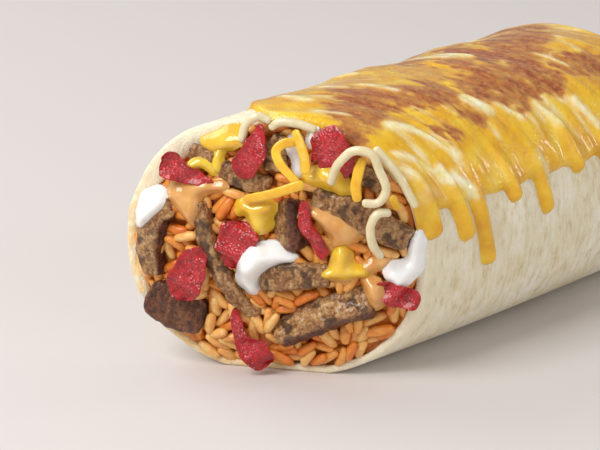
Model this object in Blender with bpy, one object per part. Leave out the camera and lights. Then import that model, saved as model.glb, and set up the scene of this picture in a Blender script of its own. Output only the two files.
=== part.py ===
"""Half of a grilled burrito, cut on the slant and lying on its side.

The wrap lies along +Y with its slanted cut towards -Y and +X. Sizes are in millimetres and
are made metres when a mesh is written. The cut has its own frame: U runs to the right along
the cut, V runs up, and N stands out of the cut towards the eater.
"""

import math

import bpy
import bmesh
import numpy as np
from mathutils import Vector
from mathutils.bvhtree import BVHTree

MM = 0.001

# The wrap
WIDTH = 70.0              # across, at the cut
HEIGHT = 72.0             # before the underside is flattened
FLATTENED = 1.5           # taken off the underside by the wrap's own weight
LENGTH = 139.0
BELLY = 0.07              # how much wider the middle is than the cut
LOWERED = 2.0             # how much lower the far end is than the cut
SQUARENESS = 2.25         # exponent of the superellipse that the section follows
SLANT = math.radians(30.0)
SLANT_RUN = 60.0          # past this length the sections stand square to the axis
TUCK = 15.0               # length of the rounded, folded far end
WALL = 2.0
DOUBLE_WALL = 2.6         # added where the sheet lies double, at the upper left
GAP = 0.3                 # left between neighbouring pieces
MIDDLE = (-0.55, 58.3)    # centre of the whole half's outline, put at the origin
SHARP = 40.0              # degrees, past which an edge between two faces is drawn sharp

AROUND = 40               # points round the wrap
CENTRE_HEIGHT = HEIGHT / 2 - FLATTENED
FACE_HEIGHT = 35.25       # height of the middle of the cut
OUTER_LENGTHS = (0, 4, 14, 28, 43, 60, 78, 96, 112, 124)
INNER_LENGTHS = (0, 20, 60, 105)
END_WALL = 3.0            # at the closed end, where the folds lie on each other
FLAP = 1.6                # thickness of the last fold, over the closed end
TUCK_DEPTH = 1.2          # of the two creases beside it

# The filling
SET_BACK = 0.6            # how far the filling's edge lies inside the rim
BULGE = 5.6               # how far its middle stands out beyond its edge
FRONT_REACHES = (0.9, 0.76, 0.6, 0.42, 0.22)
PIECE_ROOM = 0.6          # left between the core and the pieces pressed into it
SLIVER = 0.01             # edges shorter than this are dissolved after the cuts
GRAIN_LENGTH = 7.5
GRAIN_WIDTH = 2.65
GRAIN_SPACING = 3.7
GRAIN_RISE = 0.9          # of a grain's middle, above the core
GRAIN_ROOM = 0.2          # more than the gap, for a piece's corners
GRAIN_SIZES = (1.0, 1.0, 1.0, 0.9, 0.9, 0.78, 0.78, 0.66)   # tried in turn till one fits
GRAIN_REACH = 0.93        # of the way to the rim; no grain's middle lies further out
RIM_REACH = 0.72          # past it grains lie along the rim
GRAIN_SEED = 11

# The cheese on top
CRUST_DEPTH = 2.0
CRUST_THIN = 0.7          # at its edge
CRUST_UNDER = 1.2         # its underside starts this deep, and the sheet is then cut from it
CRUST_EDGE = 72.0         # degrees from the top, between drips
CRUST_END = 127.0
DRIP_WIDTH = 5.6
# Where each drip runs down the right side, and how far round it ends there and on the left
DRIPS = ((22.0, 84, 76), (33.5, 88, 92), (43.0, 99, 80), (54.5, 79, 88), (68.0, 88, 72),
         (82.0, 76, 90), (97.0, 90, 80), (113.0, 78, 86))


def linear(red, green, blue):
    """A colour as the eye names it, turned into the values a shader mixes."""
    return [(value / 255) ** 2.2 for value in (red, green, blue)] + [1.0]


def make_material(name, colour, roughness):
    material = bpy.data.materials.new(name)
    material.use_nodes = True
    shader = material.node_tree.nodes["Principled BSDF"]
    shader.inputs["Base Color"].default_value = linear(*colour)
    shader.inputs["Roughness"].default_value = roughness
    material.diffuse_color = linear(*colour)
    return material


def make_object(name, points, faces, material):
    """One closed piece, from points in millimetres."""
    mesh = bpy.data.meshes.new(name)
    mesh.from_pydata((np.asarray(points) * MM).tolist(), [], faces)
    shape = bmesh.new()
    shape.from_mesh(mesh)
    bmesh.ops.recalc_face_normals(shape, faces=shape.faces)
    bmesh.ops.triangulate(shape, faces=shape.faces)
    shape.to_mesh(mesh)
    shape.free()
    mesh.materials.append(material)
    piece = bpy.data.objects.new(name, mesh)
    bpy.context.scene.collection.objects.link(piece)
    return piece


def signed_power(values, exponent):
    return np.sign(values) * np.abs(values) ** exponent


def slant_of(x, along):
    """How far the slanted cut moves a section's point along the wrap."""
    return x * math.tan(SLANT) * np.clip(1 - along / SLANT_RUN, 0, 1)


def lumps(angle, along):
    """The filling's soft lumps, felt through the sheet."""
    return (0.45 * np.sin(3 * angle + along / 11) * np.sin(along / 9)
            + 0.3 * np.sin(7 * angle - along / 6))


def seam(angle):
    """The sheet's outer edge: a step at the lower left that fades away round the wrap."""
    turn = np.mod(np.degrees(angle) + 140, 360)
    return np.interp(turn, (0, 6, 140, 360), (0.0, 1.1, 0.25, 0.0))


def wrap_points(angle, along, squeeze, lift):
    """Points of the wrap: a superellipse round the axis, at an angle from the top towards
    the right, a length along, a squeeze that closes the far end, and a lift off the sheet."""
    swell = 1 + BELLY * np.sin(math.pi * np.clip(along / LENGTH, 0, 1))
    low = 1 - LOWERED / HEIGHT * along / LENGTH
    sine = signed_power(np.sin(angle), 2 / SQUARENESS)
    cosine = signed_power(np.cos(angle), 2 / SQUARENESS)
    x = (WIDTH / 2 * swell * squeeze + lift) * sine
    z = CENTRE_HEIGHT * low + (HEIGHT / 2 * low * squeeze + lift) * cosine
    z = np.maximum(z, -np.minimum(lift, 0.0))
    return np.stack([x, along + slant_of(x, along), z], axis=-1)


def tuck_stations(count, depth):
    """Lengths and squeezes of the rings that round the far end off."""
    turn = np.radians(np.arange(1, count + 1) * 90 / (count + 1))
    return LENGTH - TUCK + (TUCK - depth) * np.sin(turn), np.cos(turn) ** 0.5


def wrap_rings(lengths, tuck_count, lift, depth):
    """Rings of points from the cut to the far end, in rows, and the end's middle point."""
    angle = np.radians(np.arange(AROUND) * 360 / AROUND)
    tuck_lengths, squeezes = tuck_stations(tuck_count, depth)
    along = np.concatenate([np.asarray(lengths, float), tuck_lengths])
    squeeze = np.concatenate([np.ones(len(lengths)), squeezes])
    grid_angle, grid_along = np.meshgrid(angle, along)
    lifted = lift(grid_angle, grid_along)
    points = wrap_points(grid_angle, grid_along, squeeze[:, None], lifted)
    return points, np.array([0.0, LENGTH - depth, CENTRE_HEIGHT])


def outer_lift(angle, along):
    """Relief of the sheet's outside: lumps and the seam, dying out at the flat underside."""
    upper = np.clip((np.cos(angle) + 0.75) / 0.5, 0, 1)
    return (lumps(angle, along) + seam(angle)) * upper


def wall_at(angle, along):
    """Thickness of the sheet: double at the upper left."""
    turn = np.degrees(np.arctan2(np.sin(angle), np.cos(angle)))
    return WALL + DOUBLE_WALL * np.exp(-((turn + 42) / 30) ** 4)


def inner_lift(angle, along):
    return -wall_at(angle, along)


def filling_lift(angle, along):
    return -wall_at(angle, along) - GAP


def ring_faces(rows, columns, first, flip=False):
    """Quads between rows of a closed ring."""
    faces = []
    for row in range(rows - 1):
        for column in range(columns):
            after = (column + 1) % columns
            quad = [first + row * columns + column, first + row * columns + after,
                    first + (row + 1) * columns + after, first + (row + 1) * columns + column]
            faces.append(quad[::-1] if flip else quad)
    return faces


def fan_faces(ring_start, columns, pole):
    return [[ring_start + i, ring_start + (i + 1) % columns, pole] for i in range(columns)]


def make_tortilla(material):
    """The sheet: an outside, an inside and the rim between them."""
    outer, end = wrap_rings(OUTER_LENGTHS, 4, outer_lift, 0.0)
    inner, floor = wrap_rings(INNER_LENGTHS, 1, inner_lift, END_WALL)
    outer[-3:] = outer[-3:] + fold_relief(outer[-3:])
    points = np.concatenate([outer.reshape(-1, 3), [end], inner.reshape(-1, 3), [floor]])
    start = outer.shape[0] * AROUND + 1
    faces = ring_faces(outer.shape[0], AROUND, 0)
    faces += fan_faces((outer.shape[0] - 1) * AROUND, AROUND, start - 1)
    faces += ring_faces(inner.shape[0], AROUND, start, flip=True)
    faces += fan_faces(start + (inner.shape[0] - 1) * AROUND, AROUND, len(points) - 1)
    for column in range(AROUND):
        after = (column + 1) % AROUND
        faces.append([column, start + column, start + after, after])
    return make_object("tortilla", to_origin(points), faces, material)


def fold_relief(points):
    """The far end's folds: two side tucks, and a flap folded down over them."""
    x = points[..., 0]
    z = points[..., 2] - CENTRE_HEIGHT
    flap = np.clip((z + 4 + 0.12 * np.abs(x)) / 3, 0, 1) * FLAP
    tucks = -TUCK_DEPTH * np.exp(-((np.abs(x) - 12 - 0.5 * np.abs(z)) / 4) ** 2)
    push = np.zeros_like(points)
    push[..., 1] = flap + tucks - TUCK_DEPTH
    return push


def to_origin(points):
    """Wrap coordinates, moved so that the half stands over the origin."""
    return np.asarray(points, float) - np.array([MIDDLE[0], MIDDLE[1], 0.0])


def from_cut(points):
    """Places on the cut, (U, V, N), as places of the model."""
    u, v, n = np.moveaxis(np.asarray(points, float), -1, 0)
    x = u * math.cos(SLANT) + n * math.sin(SLANT)
    y = u * math.sin(SLANT) - n * math.cos(SLANT)
    return to_origin(np.stack([x, y, v + FACE_HEIGHT], axis=-1))


def filling_front(u, v, reach):
    """How far the filling stands out of the cut, with reach 0 in its middle and 1 at its rim."""
    bumps = 0.5 * np.sin(u / 2.9 + 1.3 * np.sin(v / 4.1)) * np.sin(v / 2.5)
    return -SET_BACK + BULGE * (1 - reach ** 3) + bumps * (1 - reach ** 4)


def rim_radius(angle):
    """The inside of the rim on the cut, as U and V at an angle from the top."""
    points = wrap_points(angle, np.zeros_like(angle), 1.0, filling_lift(angle, 0 * angle))
    return points[..., 0] / math.cos(SLANT), points[..., 2] - FACE_HEIGHT


def make_filling(material):
    """The filling's core: it fills the wrap to its end and bulges out of the cut."""
    rings, floor = wrap_rings(INNER_LENGTHS, 1, filling_lift, END_WALL + GAP)
    rings[0, :, 1] += SET_BACK / math.cos(SLANT)
    angle = np.radians(np.arange(AROUND) * 360 / AROUND)
    rim_u, rim_v = rim_radius(angle)
    front = []
    for reach in FRONT_REACHES:
        u = rim_u * reach
        v = rim_v * reach
        n = filling_front(u, v, np.full_like(u, reach))
        front.append(from_cut(np.stack([u, v, n], axis=-1)))
    middle = from_cut([[0.0, 0.0, filling_front(0.0, 0.0, 0.0)]])
    body = to_origin(rings.reshape(-1, 3))
    points = np.concatenate([body, to_origin([floor]), *front, middle])
    start = len(body) + 1
    faces = ring_faces(rings.shape[0], AROUND, 0)
    faces += fan_faces((rings.shape[0] - 1) * AROUND, AROUND, start - 1)
    faces += ring_faces(len(front), AROUND, start, flip=True)
    faces += fan_faces(start + (len(front) - 1) * AROUND, AROUND, len(points) - 1)
    for column in range(AROUND):
        after = (column + 1) % AROUND
        faces.append([column, start + column, start + after, after])
    return make_object("rice_filling", points, faces, material)


def smooth_path(controls, count):
    """Evenly spaced points on a Catmull-Rom curve through the controls, every column alike."""
    controls = np.asarray(controls, float)
    ends = np.concatenate([[2 * controls[0] - controls[1]], controls,
                           [2 * controls[-1] - controls[-2]]])
    fine = []
    for i in range(len(controls) - 1):
        a, b, c, d = ends[i:i + 4]
        t = np.linspace(0, 1, 24, endpoint=False)[:, None]
        fine.append(0.5 * (2 * b + (c - a) * t + (2 * a - 5 * b + 4 * c - d) * t ** 2
                           + (3 * b - a - 3 * c + d) * t ** 3))
    fine = np.concatenate([*fine, controls[-1:]])
    run = np.concatenate([[0], np.cumsum(np.linalg.norm(np.diff(fine[:, :3], axis=0), axis=1))])
    at = np.linspace(0, run[-1], count)
    return np.stack([np.interp(at, run, column) for column in fine.T], axis=-1)


def path_frames(path):
    """For each point of a path on the cut, its directions: sideways, out of the cut, and on."""
    tangent = np.gradient(path, axis=0)
    tangent /= np.linalg.norm(tangent, axis=1)[:, None]
    side = np.cross(tangent, [0.0, 0.0, 1.0])
    side /= np.maximum(np.linalg.norm(side, axis=1), 1e-6)[:, None]
    return side, np.cross(side, tangent), tangent


def tube_faces(rows, columns):
    faces = ring_faces(rows, columns, 0)
    faces.append(list(range(columns))[::-1])
    faces.append([(rows - 1) * columns + i for i in range(columns)])
    return faces


def make_tube(name, controls, material, flat=1.0, sides=8, rows=7, power=2.0, blunt=0.6,
              rough=0.0, seed=0, room=0.0):
    """A strip, string or drop: a superellipse carried along a smooth path. A control is
    (U, V, N, width), with N the height of its top. Flat is its depth for each unit of width,
    blunt the size of its end rings, rough the unevenness of its sides, and room what it is
    grown by all round."""
    path = smooth_path(controls, rows)
    width = path[:, 3]
    depth = width * flat
    centre = path[:, :3] - np.array([0.0, 0.0, 0.5]) * depth[:, None]
    side, out, tangent = path_frames(centre)
    centre[0] -= tangent[0] * room
    centre[-1] += tangent[-1] * room
    width = width + 2 * room
    depth = depth + 2 * room
    turn = np.radians((np.arange(sides) + 0.5) * 360 / sides)
    across = signed_power(np.cos(turn), 2 / power)
    up = signed_power(np.sin(turn), 2 / power)
    scale = np.ones(rows)
    scale[[0, -1]] = blunt
    if rows > 5 and blunt < 0.6:
        scale[[1, -2]] = 0.5 + blunt / 2 + 0.12
    uneven = 1 + rough * np.random.default_rng(seed).uniform(-1, 1, (rows, sides))
    ring = (side[:, None] * (across * uneven * (width * scale / 2)[:, None])[..., None]
            + out[:, None] * (up * uneven * (depth * scale / 2)[:, None])[..., None])
    points = from_cut(centre[:, None] + ring).reshape(-1, 3)
    return make_object(name, points, tube_faces(rows, sides), material)


def make_ribbon(name, controls, material, curl=0.0, wave=0.5, turns=2.0, thick=1.2, rows=8,
                seed=0):
    """A thin crinkled strip: its mid-line follows the path, its two sides curl up and its
    edge and its faces wave."""
    path = smooth_path(controls, rows)
    width = path[:, 3]
    centre = path[:, :3]
    side, out, _ = path_frames(centre)
    half = np.array([-1.0, -0.5, 0.0, 0.5, 1.0])
    across = np.concatenate([half, half[::-1]])
    face = np.concatenate([np.full(5, -1.0), np.full(5, 1.0)])
    t = np.linspace(0, 1, rows)[:, None]
    phase = np.random.default_rng(seed).uniform(0, 2 * math.pi, 2)
    ripple = wave * np.sin(2 * math.pi * turns * t + phase[0] + 1.6 * across)
    lift = curl * across ** 2 * width[:, None] / 2 + ripple - thick
    edge = 1 + 0.1 * np.sin(2 * math.pi * (turns + 1.3) * t + phase[1] + across)
    body = thick / 2 * (1 - 0.45 * across ** 2)
    ring = (side[:, None] * (across * edge * width[:, None] / 2)[..., None]
            + out[:, None] * (lift + face * body)[..., None])
    points = from_cut(centre[:, None] + ring).reshape(-1, 3)
    return make_object(name, points, tube_faces(rows, 10), material)


def crust_edge(along, side):
    """How far round the cheese reaches, in degrees, at a length along the wrap: an even edge
    with a drip at each place in DRIPS."""
    edge = CRUST_EDGE + 1.5 * np.sin(along / 7.0) + np.sin(along / 3.1)
    for place, right, left in DRIPS:
        reach = right if side > 0 else left
        shape = np.exp(-(np.abs(along - drip_station(place)) / (drip_span(place) / 2)) ** 8)
        edge = np.maximum(edge, CRUST_EDGE + (reach - CRUST_EDGE) * shape)
    if side < 0:
        open_rim = np.interp(along, (0, 22, 36), (2.0, 36.0, 100.0))
        edge = np.minimum(edge, open_rim)
    return edge


def drip_station(place):
    """A drip's place on the right side as a length along the middle of the wrap."""
    reach = WIDTH / 2 * math.tan(SLANT)
    return (place - reach) / (1 - reach / SLANT_RUN) if place < SLANT_RUN else place


def drip_span(place):
    """A drip's width, in the same lengths, which the slant draws out."""
    reach = WIDTH / 2 * math.tan(SLANT)
    return DRIP_WIDTH / (1 - reach / SLANT_RUN) if place < SLANT_RUN else DRIP_WIDTH


def crust_stations():
    """Lengths along the wrap at which the cheese has rows: three in each drip, one each side."""
    rows = [-1.2]
    for place, _, _ in DRIPS:
        middle = drip_station(place)
        span = drip_span(place)
        rows += [middle + span * step for step in (-0.58, -0.42, 0.0, 0.42, 0.58)]
    rows += [123.5, CRUST_END]
    kept = [rows[0]]
    for row in sorted(rows[1:]):
        if row - kept[-1] > 0.8:
            kept.append(row)
    return np.array(kept)


def make_crust(material, tortilla):
    """The melted, griddled cheese: a sheet on the wrap with an uneven top and drips."""
    along = crust_stations()
    fixed = np.array([-44.0, -22.0, 0.0, 22.0, 44.0])
    out_steps = np.array([0.4, 0.85, 1.0])
    right = crust_edge(along, 1.0)
    left = crust_edge(along, -1.0)
    rows = []
    for station, right_edge, left_edge in zip(along, right, left):
        inner = np.clip(fixed, -left_edge * 0.8, right_edge * 0.8)
        to_right = inner[-1] + (right_edge - inner[-1]) * out_steps
        to_left = inner[0] + (-left_edge - inner[0]) * out_steps[::-1]
        rows.append(np.concatenate([to_left, inner, to_right]))
    degrees = np.array(rows)
    columns = degrees.shape[1]
    angle = np.radians(degrees)
    length = np.repeat(along[:, None], columns, axis=1)
    depth = np.full(degrees.shape, CRUST_DEPTH)
    depth += 0.35 * np.sin(length / 5 + 4 * angle) + 0.25 * np.sin(length / 3 - 9 * angle)
    depth[:, [0, -1]] = CRUST_THIN
    depth[[0, -1]] = CRUST_THIN
    relief = outer_lift(angle, length)
    top = wrap_points(angle, length, 1.0, relief + GAP + depth)
    under = wrap_points(angle, length, 1.0, relief - CRUST_UNDER)
    points = np.concatenate([top.reshape(-1, 3), under.reshape(-1, 3)])
    faces = []
    below = len(along) * columns
    for row in range(len(along) - 1):
        for column in range(columns - 1):
            corner = row * columns + column
            quad = [corner, corner + 1, corner + columns + 1, corner + columns]
            faces += [quad, [below + index for index in quad[::-1]]]
    edge = list(range(columns))
    edge += [row * columns + columns - 1 for row in range(1, len(along))]
    edge += [(len(along) - 1) * columns + column for column in range(columns - 2, -1, -1)]
    edge += [row * columns for row in range(len(along) - 2, 0, -1)]
    for here, after in zip(edge, edge[1:] + edge[:1]):
        faces.append([here, below + here, below + after, after])
    crust = make_object("cheese_crust", to_origin(points), faces, material)
    carve(crust, [tortilla])
    return crust


# The pieces on the cut. A path's point is (U, V, N, width), with N the height of its top.
STEAKS = (
    dict(path=((-27.0, 9.6, 4.8, 6.0), (-31.4, 7.2, 5.0, 7.0), (-34.0, -1.0, 4.2, 7.2),
               (-33.2, -10.2, 3.4, 6.0)), flat=0.8),
    dict(path=((-35.0, -15.4, 3.0, 9.0), (-27.0, -18.6, 4.6, 13.0), (-18.8, -21.0, 4.2, 9.5)),
         flat=0.45),
    dict(path=((-19.5, 12.5, 6.0, 4.4), (-17.4, 2.3, 7.2, 4.8), (-13.5, -6.2, 7.4, 5.0),
               (-9.1, -13.5, 6.6, 4.6), (-4.0, -18.3, 5.2, 3.8)), flat=1.3),
    dict(path=((-14.2, 21.6, 4.2, 4.8), (-7.1, 19.3, 5.6, 5.8), (-0.3, 17.8, 5.4, 5.0)), flat=0.9),
    dict(path=((2.5, 31.2, 2.6, 5.4), (0.9, 27.0, 4.2, 6.4), (0.7, 21.8, 5.0, 6.0)), flat=0.7),
    dict(path=((4.7, 15.0, 6.4, 7.4), (5.1, 7.5, 7.2, 8.2), (5.6, 1.1, 6.8, 8.0)), flat=0.9),
    dict(path=((10.9, 15.6, 6.6, 6.4), (19.9, 13.0, 7.6, 8.0), (28.8, 9.2, 6.4, 7.8),
               (36.4, 4.9, 4.4, 6.4)), flat=0.85),
    dict(path=((-3.1, -7.8, 7.8, 6.4), (7.0, -5.8, 8.6, 7.2), (16.1, -5.2, 7.6, 6.2)), flat=0.9),
    dict(path=((1.2, -24.4, 5.2, 7.0), (13.7, -16.8, 7.2, 8.8), (27.3, -11.5, 6.0, 8.2)),
         flat=0.8),
    dict(path=((-22.8, 25.2, 2.8, 4.0), (-15.6, 23.6, 4.0, 4.6)), flat=0.7),
    dict(path=((22.7, 23.0, 4.6, 4.6), (29.4, 19.8, 4.4, 5.0)), flat=0.8),
)
RED_STRIPS = (
    dict(path=((-30.2, 23.0, 4.6, 7.0), (-26.6, 21.6, 5.4, 7.6), (-22.0, 19.6, 5.6, 4.8),
               (-15.6, 17.6, 5.4, 2.0)), curl=0.35),
    dict(path=((-3.0, 35.2, 4.6, 1.8), (-4.0, 29.4, 7.0, 6.0), (-6.2, 24.6, 7.6, 7.2),
               (-8.6, 20.6, 7.0, 4.6)), curl=0.2),
    dict(path=((12.6, 34.6, 4.6, 7.0), (15.6, 30.6, 6.6, 11.0), (17.0, 26.4, 6.8, 10.4),
               (14.6, 22.6, 6.4, 6.0)), curl=0.15, wave=0.8),
    dict(path=((-17.9, 0.4, 7.2, 3.6), (-20.9, -4.2, 8.2, 8.4), (-23.0, -9.6, 8.6, 9.4),
               (-24.0, -14.6, 8.2, 6.4)), curl=0.3),
    dict(path=((-8.2, 9.0, 7.4, 7.0), (-8.4, 4.6, 8.8, 11.0), (-8.6, 0.0, 9.2, 10.6),
               (-9.8, -4.6, 8.6, 5.6)), curl=0.15, wave=0.7),
    dict(path=((9.3, 16.4, 9.6, 3.0), (10.2, 9.4, 10.2, 3.6), (12.8, 5.0, 9.8, 4.2),
               (15.4, 0.2, 8.8, 3.0)), curl=-0.2, wave=0.6, turns=1.5),
    dict(path=((-9.8, -16.0, 7.4, 2.0), (-8.4, -23.0, 8.0, 3.8), (-4.4, -28.2, 7.4, 8.0),
               (-0.2, -31.6, 5.8, 7.2)), curl=0.3, wave=0.6),
    dict(path=((28.0, -6.6, 6.6, 3.0), (32.6, -8.8, 6.4, 6.4), (37.0, -10.2, 5.2, 6.4),
               (40.2, -10.6, 4.4, 3.6)), curl=0.3, wave=0.7),
)
SOUR_CREAMS = (
    dict(path=((-30.8, 12.6, 4.8, 5.0), (-33.6, 10.8, 5.4, 7.6), (-36.2, 6.6, 4.8, 6.2)), flat=0.45),
    dict(path=((6.0, -1.0, 8.2, 3.0), (0.6, -0.2, 9.0, 8.4), (-5.0, -4.7, 9.0, 9.2),
               (-5.9, -11.3, 7.8, 5.6)), flat=0.4),
    dict(path=((38.4, 5.4, 3.4, 4.8), (38.0, 0.2, 4.6, 5.6), (34.8, -3.0, 6.2, 6.8),
               (30.2, -2.4, 6.6, 4.6)), flat=0.5),
    dict(path=((5.0, 29.6, 5.4, 4.2), (6.2, 26.4, 6.4, 4.4), (7.2, 21.8, 7.0, 2.6)), flat=0.5),
    dict(path=((9.0, 32.8, 4.2, 3.0), (10.2, 29.8, 5.6, 3.8)), flat=0.6),
)
CHEESE_SAUCES = (
    dict(path=((-19.0, 28.4, 4.8, 4.6), (-14.2, 31.0, 5.4, 8.0), (-8.2, 31.4, 4.8, 6.4)), flat=0.4),
    dict(path=((-9.0, 12.8, 7.8, 3.8), (-3.5, 11.4, 9.0, 8.2), (-1.8, 7.1, 9.4, 5.4)), flat=0.4),
    dict(path=((7.8, 19.8, 7.8, 4.6), (13.3, 19.9, 8.8, 7.6), (18.5, 18.9, 8.0, 4.4)), flat=0.42),
    dict(path=((17.4, 2.2, 8.6, 6.0), (20.4, -0.8, 9.2, 8.2), (23.6, -3.6, 8.0, 5.4)), flat=0.4),
    dict(path=((-14.4, 26.4, 5.8, 4.6), (-14.6, 23.4, 6.4, 4.0), (-14.8, 20.4, 6.8, 3.0)), flat=0.5),
    dict(path=((-17.8, 22.2, 6.0, 3.4), (-22.4, 22.4, 5.4, 2.4)), flat=0.6),
)
ORANGE_SAUCES = (
    dict(path=((-24.0, 8.8, 6.4, 4.6), (-25.3, 12.7, 6.8, 8.0), (-19.4, 15.4, 6.8, 6.0)), flat=0.3),
    dict(path=((11.0, 13.6, 8.6, 2.4), (14.6, 10.2, 9.4, 4.6), (19.6, 7.0, 9.4, 7.4),
               (22.8, 5.0, 8.4, 4.6)), flat=0.4),
    dict(path=((24.0, -5.8, 7.6, 4.8), (27.6, -9.6, 8.0, 6.4)), flat=0.45),
    dict(path=((16.6, -6.4, 8.4, 3.0), (22.4, -6.0, 7.8, 2.4)), flat=0.7),
)
YELLOW_SHREDS = (
    ((7.0, 30.9, 6.2, 2.4), (3.8, 30.8, 7.0, 2.6), (1.8, 28.6, 7.8, 2.6), (3.3, 25.4, 8.8, 2.6),
     (6.2, 22.8, 9.6, 2.4)),
    ((6.1, 34.2, 5.4, 2.4), (8.4, 30.6, 7.4, 2.6), (9.8, 27.1, 9.0, 2.6), (10.3, 23.8, 10.2, 2.4)),
    ((-6.4, 15.4, 9.4, 2.4), (1.1, 17.8, 10.4, 2.6), (6.6, 19.9, 11.0, 2.8)),
    ((25.0, 28.5, 7.6, 2.4), (23.9, 25.1, 8.4, 2.8), (23.3, 20.8, 9.0, 2.8), (23.9, 16.9, 9.2, 2.4)),
    ((32.3, 18.3, 5.6, 2.2), (33.8, 14.2, 5.6, 2.4)),
)
WHITE_SHREDS = (
    ((16.4, 21.0, 9.4, 2.3), (18.4, 26.4, 10.0, 2.4), (22.6, 30.8, 10.4, 2.4),
     (27.6, 30.3, 10.4, 2.4), (29.6, 26.2, 10.4, 2.4), (31.5, 21.4, 10.6, 2.4),
     (29.6, 17.6, 11.0, 2.4), (25.4, 17.4, 11.8, 2.3)),
    ((27.4, 30.9, 5.8, 2.2), (30.9, 27.4, 6.6, 2.3), (34.4, 23.0, 6.4, 2.3), (38.4, 15.0, 5.2, 2.2)),
    ((32.6, 14.4, 9.0, 2.2), (29.4, 14.4, 11.0, 2.4), (27.8, 11.0, 12.0, 2.4),
     (28.3, 6.4, 11.8, 2.4), (30.2, 2.0, 9.4, 2.3)),
    ((-0.9, 33.6, 4.6, 2.2), (2.4, 35.7, 5.0, 2.3), (7.6, 35.4, 5.0, 2.3), (11.9, 34.0, 4.6, 2.2)),
    ((-8.1, 29.6, 5.8, 2.2), (-7.0, 34.4, 5.4, 2.3), (-3.8, 36.8, 5.0, 2.3), (-0.4, 35.6, 4.6, 2.2)),
)

# From the topmost piece down: each is whole, and what lies below makes room for it.
STACK = ("white_shred_03", "white_shred_01", "yellow_shred_03", "yellow_shred_02",
         "yellow_shred_01", "yellow_shred_04", "yellow_shred_05", "red_strip_06",
         "cheese_sauce_02", "cheese_sauce_03", "cheese_sauce_04", "orange_sauce_02",
         "steak_08", "sour_cream_02", "red_strip_05", "red_strip_04", "red_strip_07",
         "red_strip_02", "red_strip_03", "white_shred_05", "white_shred_04", "sour_cream_04",
         "sour_cream_05", "white_shred_02", "orange_sauce_04", "orange_sauce_03",
         "sour_cream_03", "red_strip_08", "orange_sauce_01", "red_strip_01",
         "cheese_sauce_05", "cheese_sauce_06", "cheese_sauce_01", "sour_cream_01",
         "steak_09", "steak_07", "steak_06", "steak_03", "steak_05", "steak_04",
         "steak_11", "steak_10", "steak_01", "steak_02")


def make_toppings():
    """Every separate piece on the cut, by name."""
    pieces = {}
    meat = make_material("steak", (112, 72, 48), 0.5)
    red = make_material("red_strip", (200, 30, 48), 0.35)
    cream = make_material("sour_cream", (246, 243, 238), 0.25)
    sauce = make_material("cheese_sauce", (240, 190, 50), 0.2)
    orange = make_material("orange_sauce", (225, 165, 95), 0.25)
    yellow = make_material("yellow_shred", (240, 190, 40), 0.4)
    white = make_material("white_shred", (238, 232, 205), 0.4)
    for number, steak in enumerate(STEAKS, 1):
        name = f"steak_{number:02d}"
        pieces[name] = make_tube(name, steak["path"], meat, flat=steak["flat"], power=3.4,
                                 blunt=0.72, rough=0.07, seed=number)
    for number, strip in enumerate(RED_STRIPS, 1):
        name = f"red_strip_{number:02d}"
        shape = {key: value for key, value in strip.items() if key != "path"}
        pieces[name] = make_ribbon(name, strip["path"], red, seed=number, **shape)
    for family, drops, material in (("sour_cream", SOUR_CREAMS, cream),
                                    ("cheese_sauce", CHEESE_SAUCES, sauce),
                                    ("orange_sauce", ORANGE_SAUCES, orange)):
        for number, drop in enumerate(drops, 1):
            name = f"{family}_{number:02d}"
            pieces[name] = make_tube(name, drop["path"], material, flat=drop["flat"], sides=7,
                                     rows=6, blunt=0.45, rough=0.03, seed=number)
    for number, path in enumerate(YELLOW_SHREDS, 1):
        name = f"yellow_shred_{number:02d}"
        pieces[name] = make_tube(name, path, yellow, flat=0.45, sides=4, rows=2 + 2 * len(path),
                                 power=6.0, blunt=0.8)
    for number, path in enumerate(WHITE_SHREDS, 1):
        name = f"white_shred_{number:02d}"
        pieces[name] = make_tube(name, path, white, sides=5, rows=2 + 2 * len(path), blunt=0.75)
    return pieces


def make_rooms(material):
    """Square-sided rooms for the strips of meat, which are pressed into the filling."""
    return [make_tube(f"room_{number}", steak["path"], material, flat=steak["flat"], sides=4,
                      power=12.0, blunt=1.0, room=PIECE_ROOM)
            for number, steak in enumerate(STEAKS)]


def bounds_of(piece):
    points = np.array([vertex.co for vertex in piece.data.vertices])
    return points.min(axis=0), points.max(axis=0)


def near(piece, other):
    low, high = bounds_of(piece)
    other_low, other_high = bounds_of(other)
    room = 2 * GAP * MM
    return bool(np.all(low < other_high + room) and np.all(other_low < high + room))


def grown_copy(piece, room):
    """A copy of a piece, grown all round, to cut its room out of a neighbour."""
    copy = bpy.data.objects.new(piece.name + "_cutter", piece.data.copy())
    bpy.context.scene.collection.objects.link(copy)
    shape = bmesh.new()
    shape.from_mesh(copy.data)
    shape.normal_update()
    for vertex in shape.verts:
        vertex.co += vertex.normal * (room * MM * vertex.calc_shell_factor())
    shape.to_mesh(copy.data)
    shape.free()
    return copy


def apply_modifiers(piece):
    graph = bpy.context.evaluated_depsgraph_get()
    mesh = bpy.data.meshes.new_from_object(piece.evaluated_get(graph))
    piece.modifiers.clear()
    piece.data = mesh


def carve(piece, neighbours, room=GAP):
    """Takes the room of each neighbour, and the gap round it, out of a piece."""
    for neighbour in neighbours:
        if not near(piece, neighbour):
            continue
        cutter = grown_copy(neighbour, room)
        cut = piece.modifiers.new("room", "BOOLEAN")
        cut.operation = "DIFFERENCE"
        cut.solver = "MANIFOLD"
        cut.object = cutter
        apply_modifiers(piece)
        bpy.data.objects.remove(cutter)
        keep_largest(piece)


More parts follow.
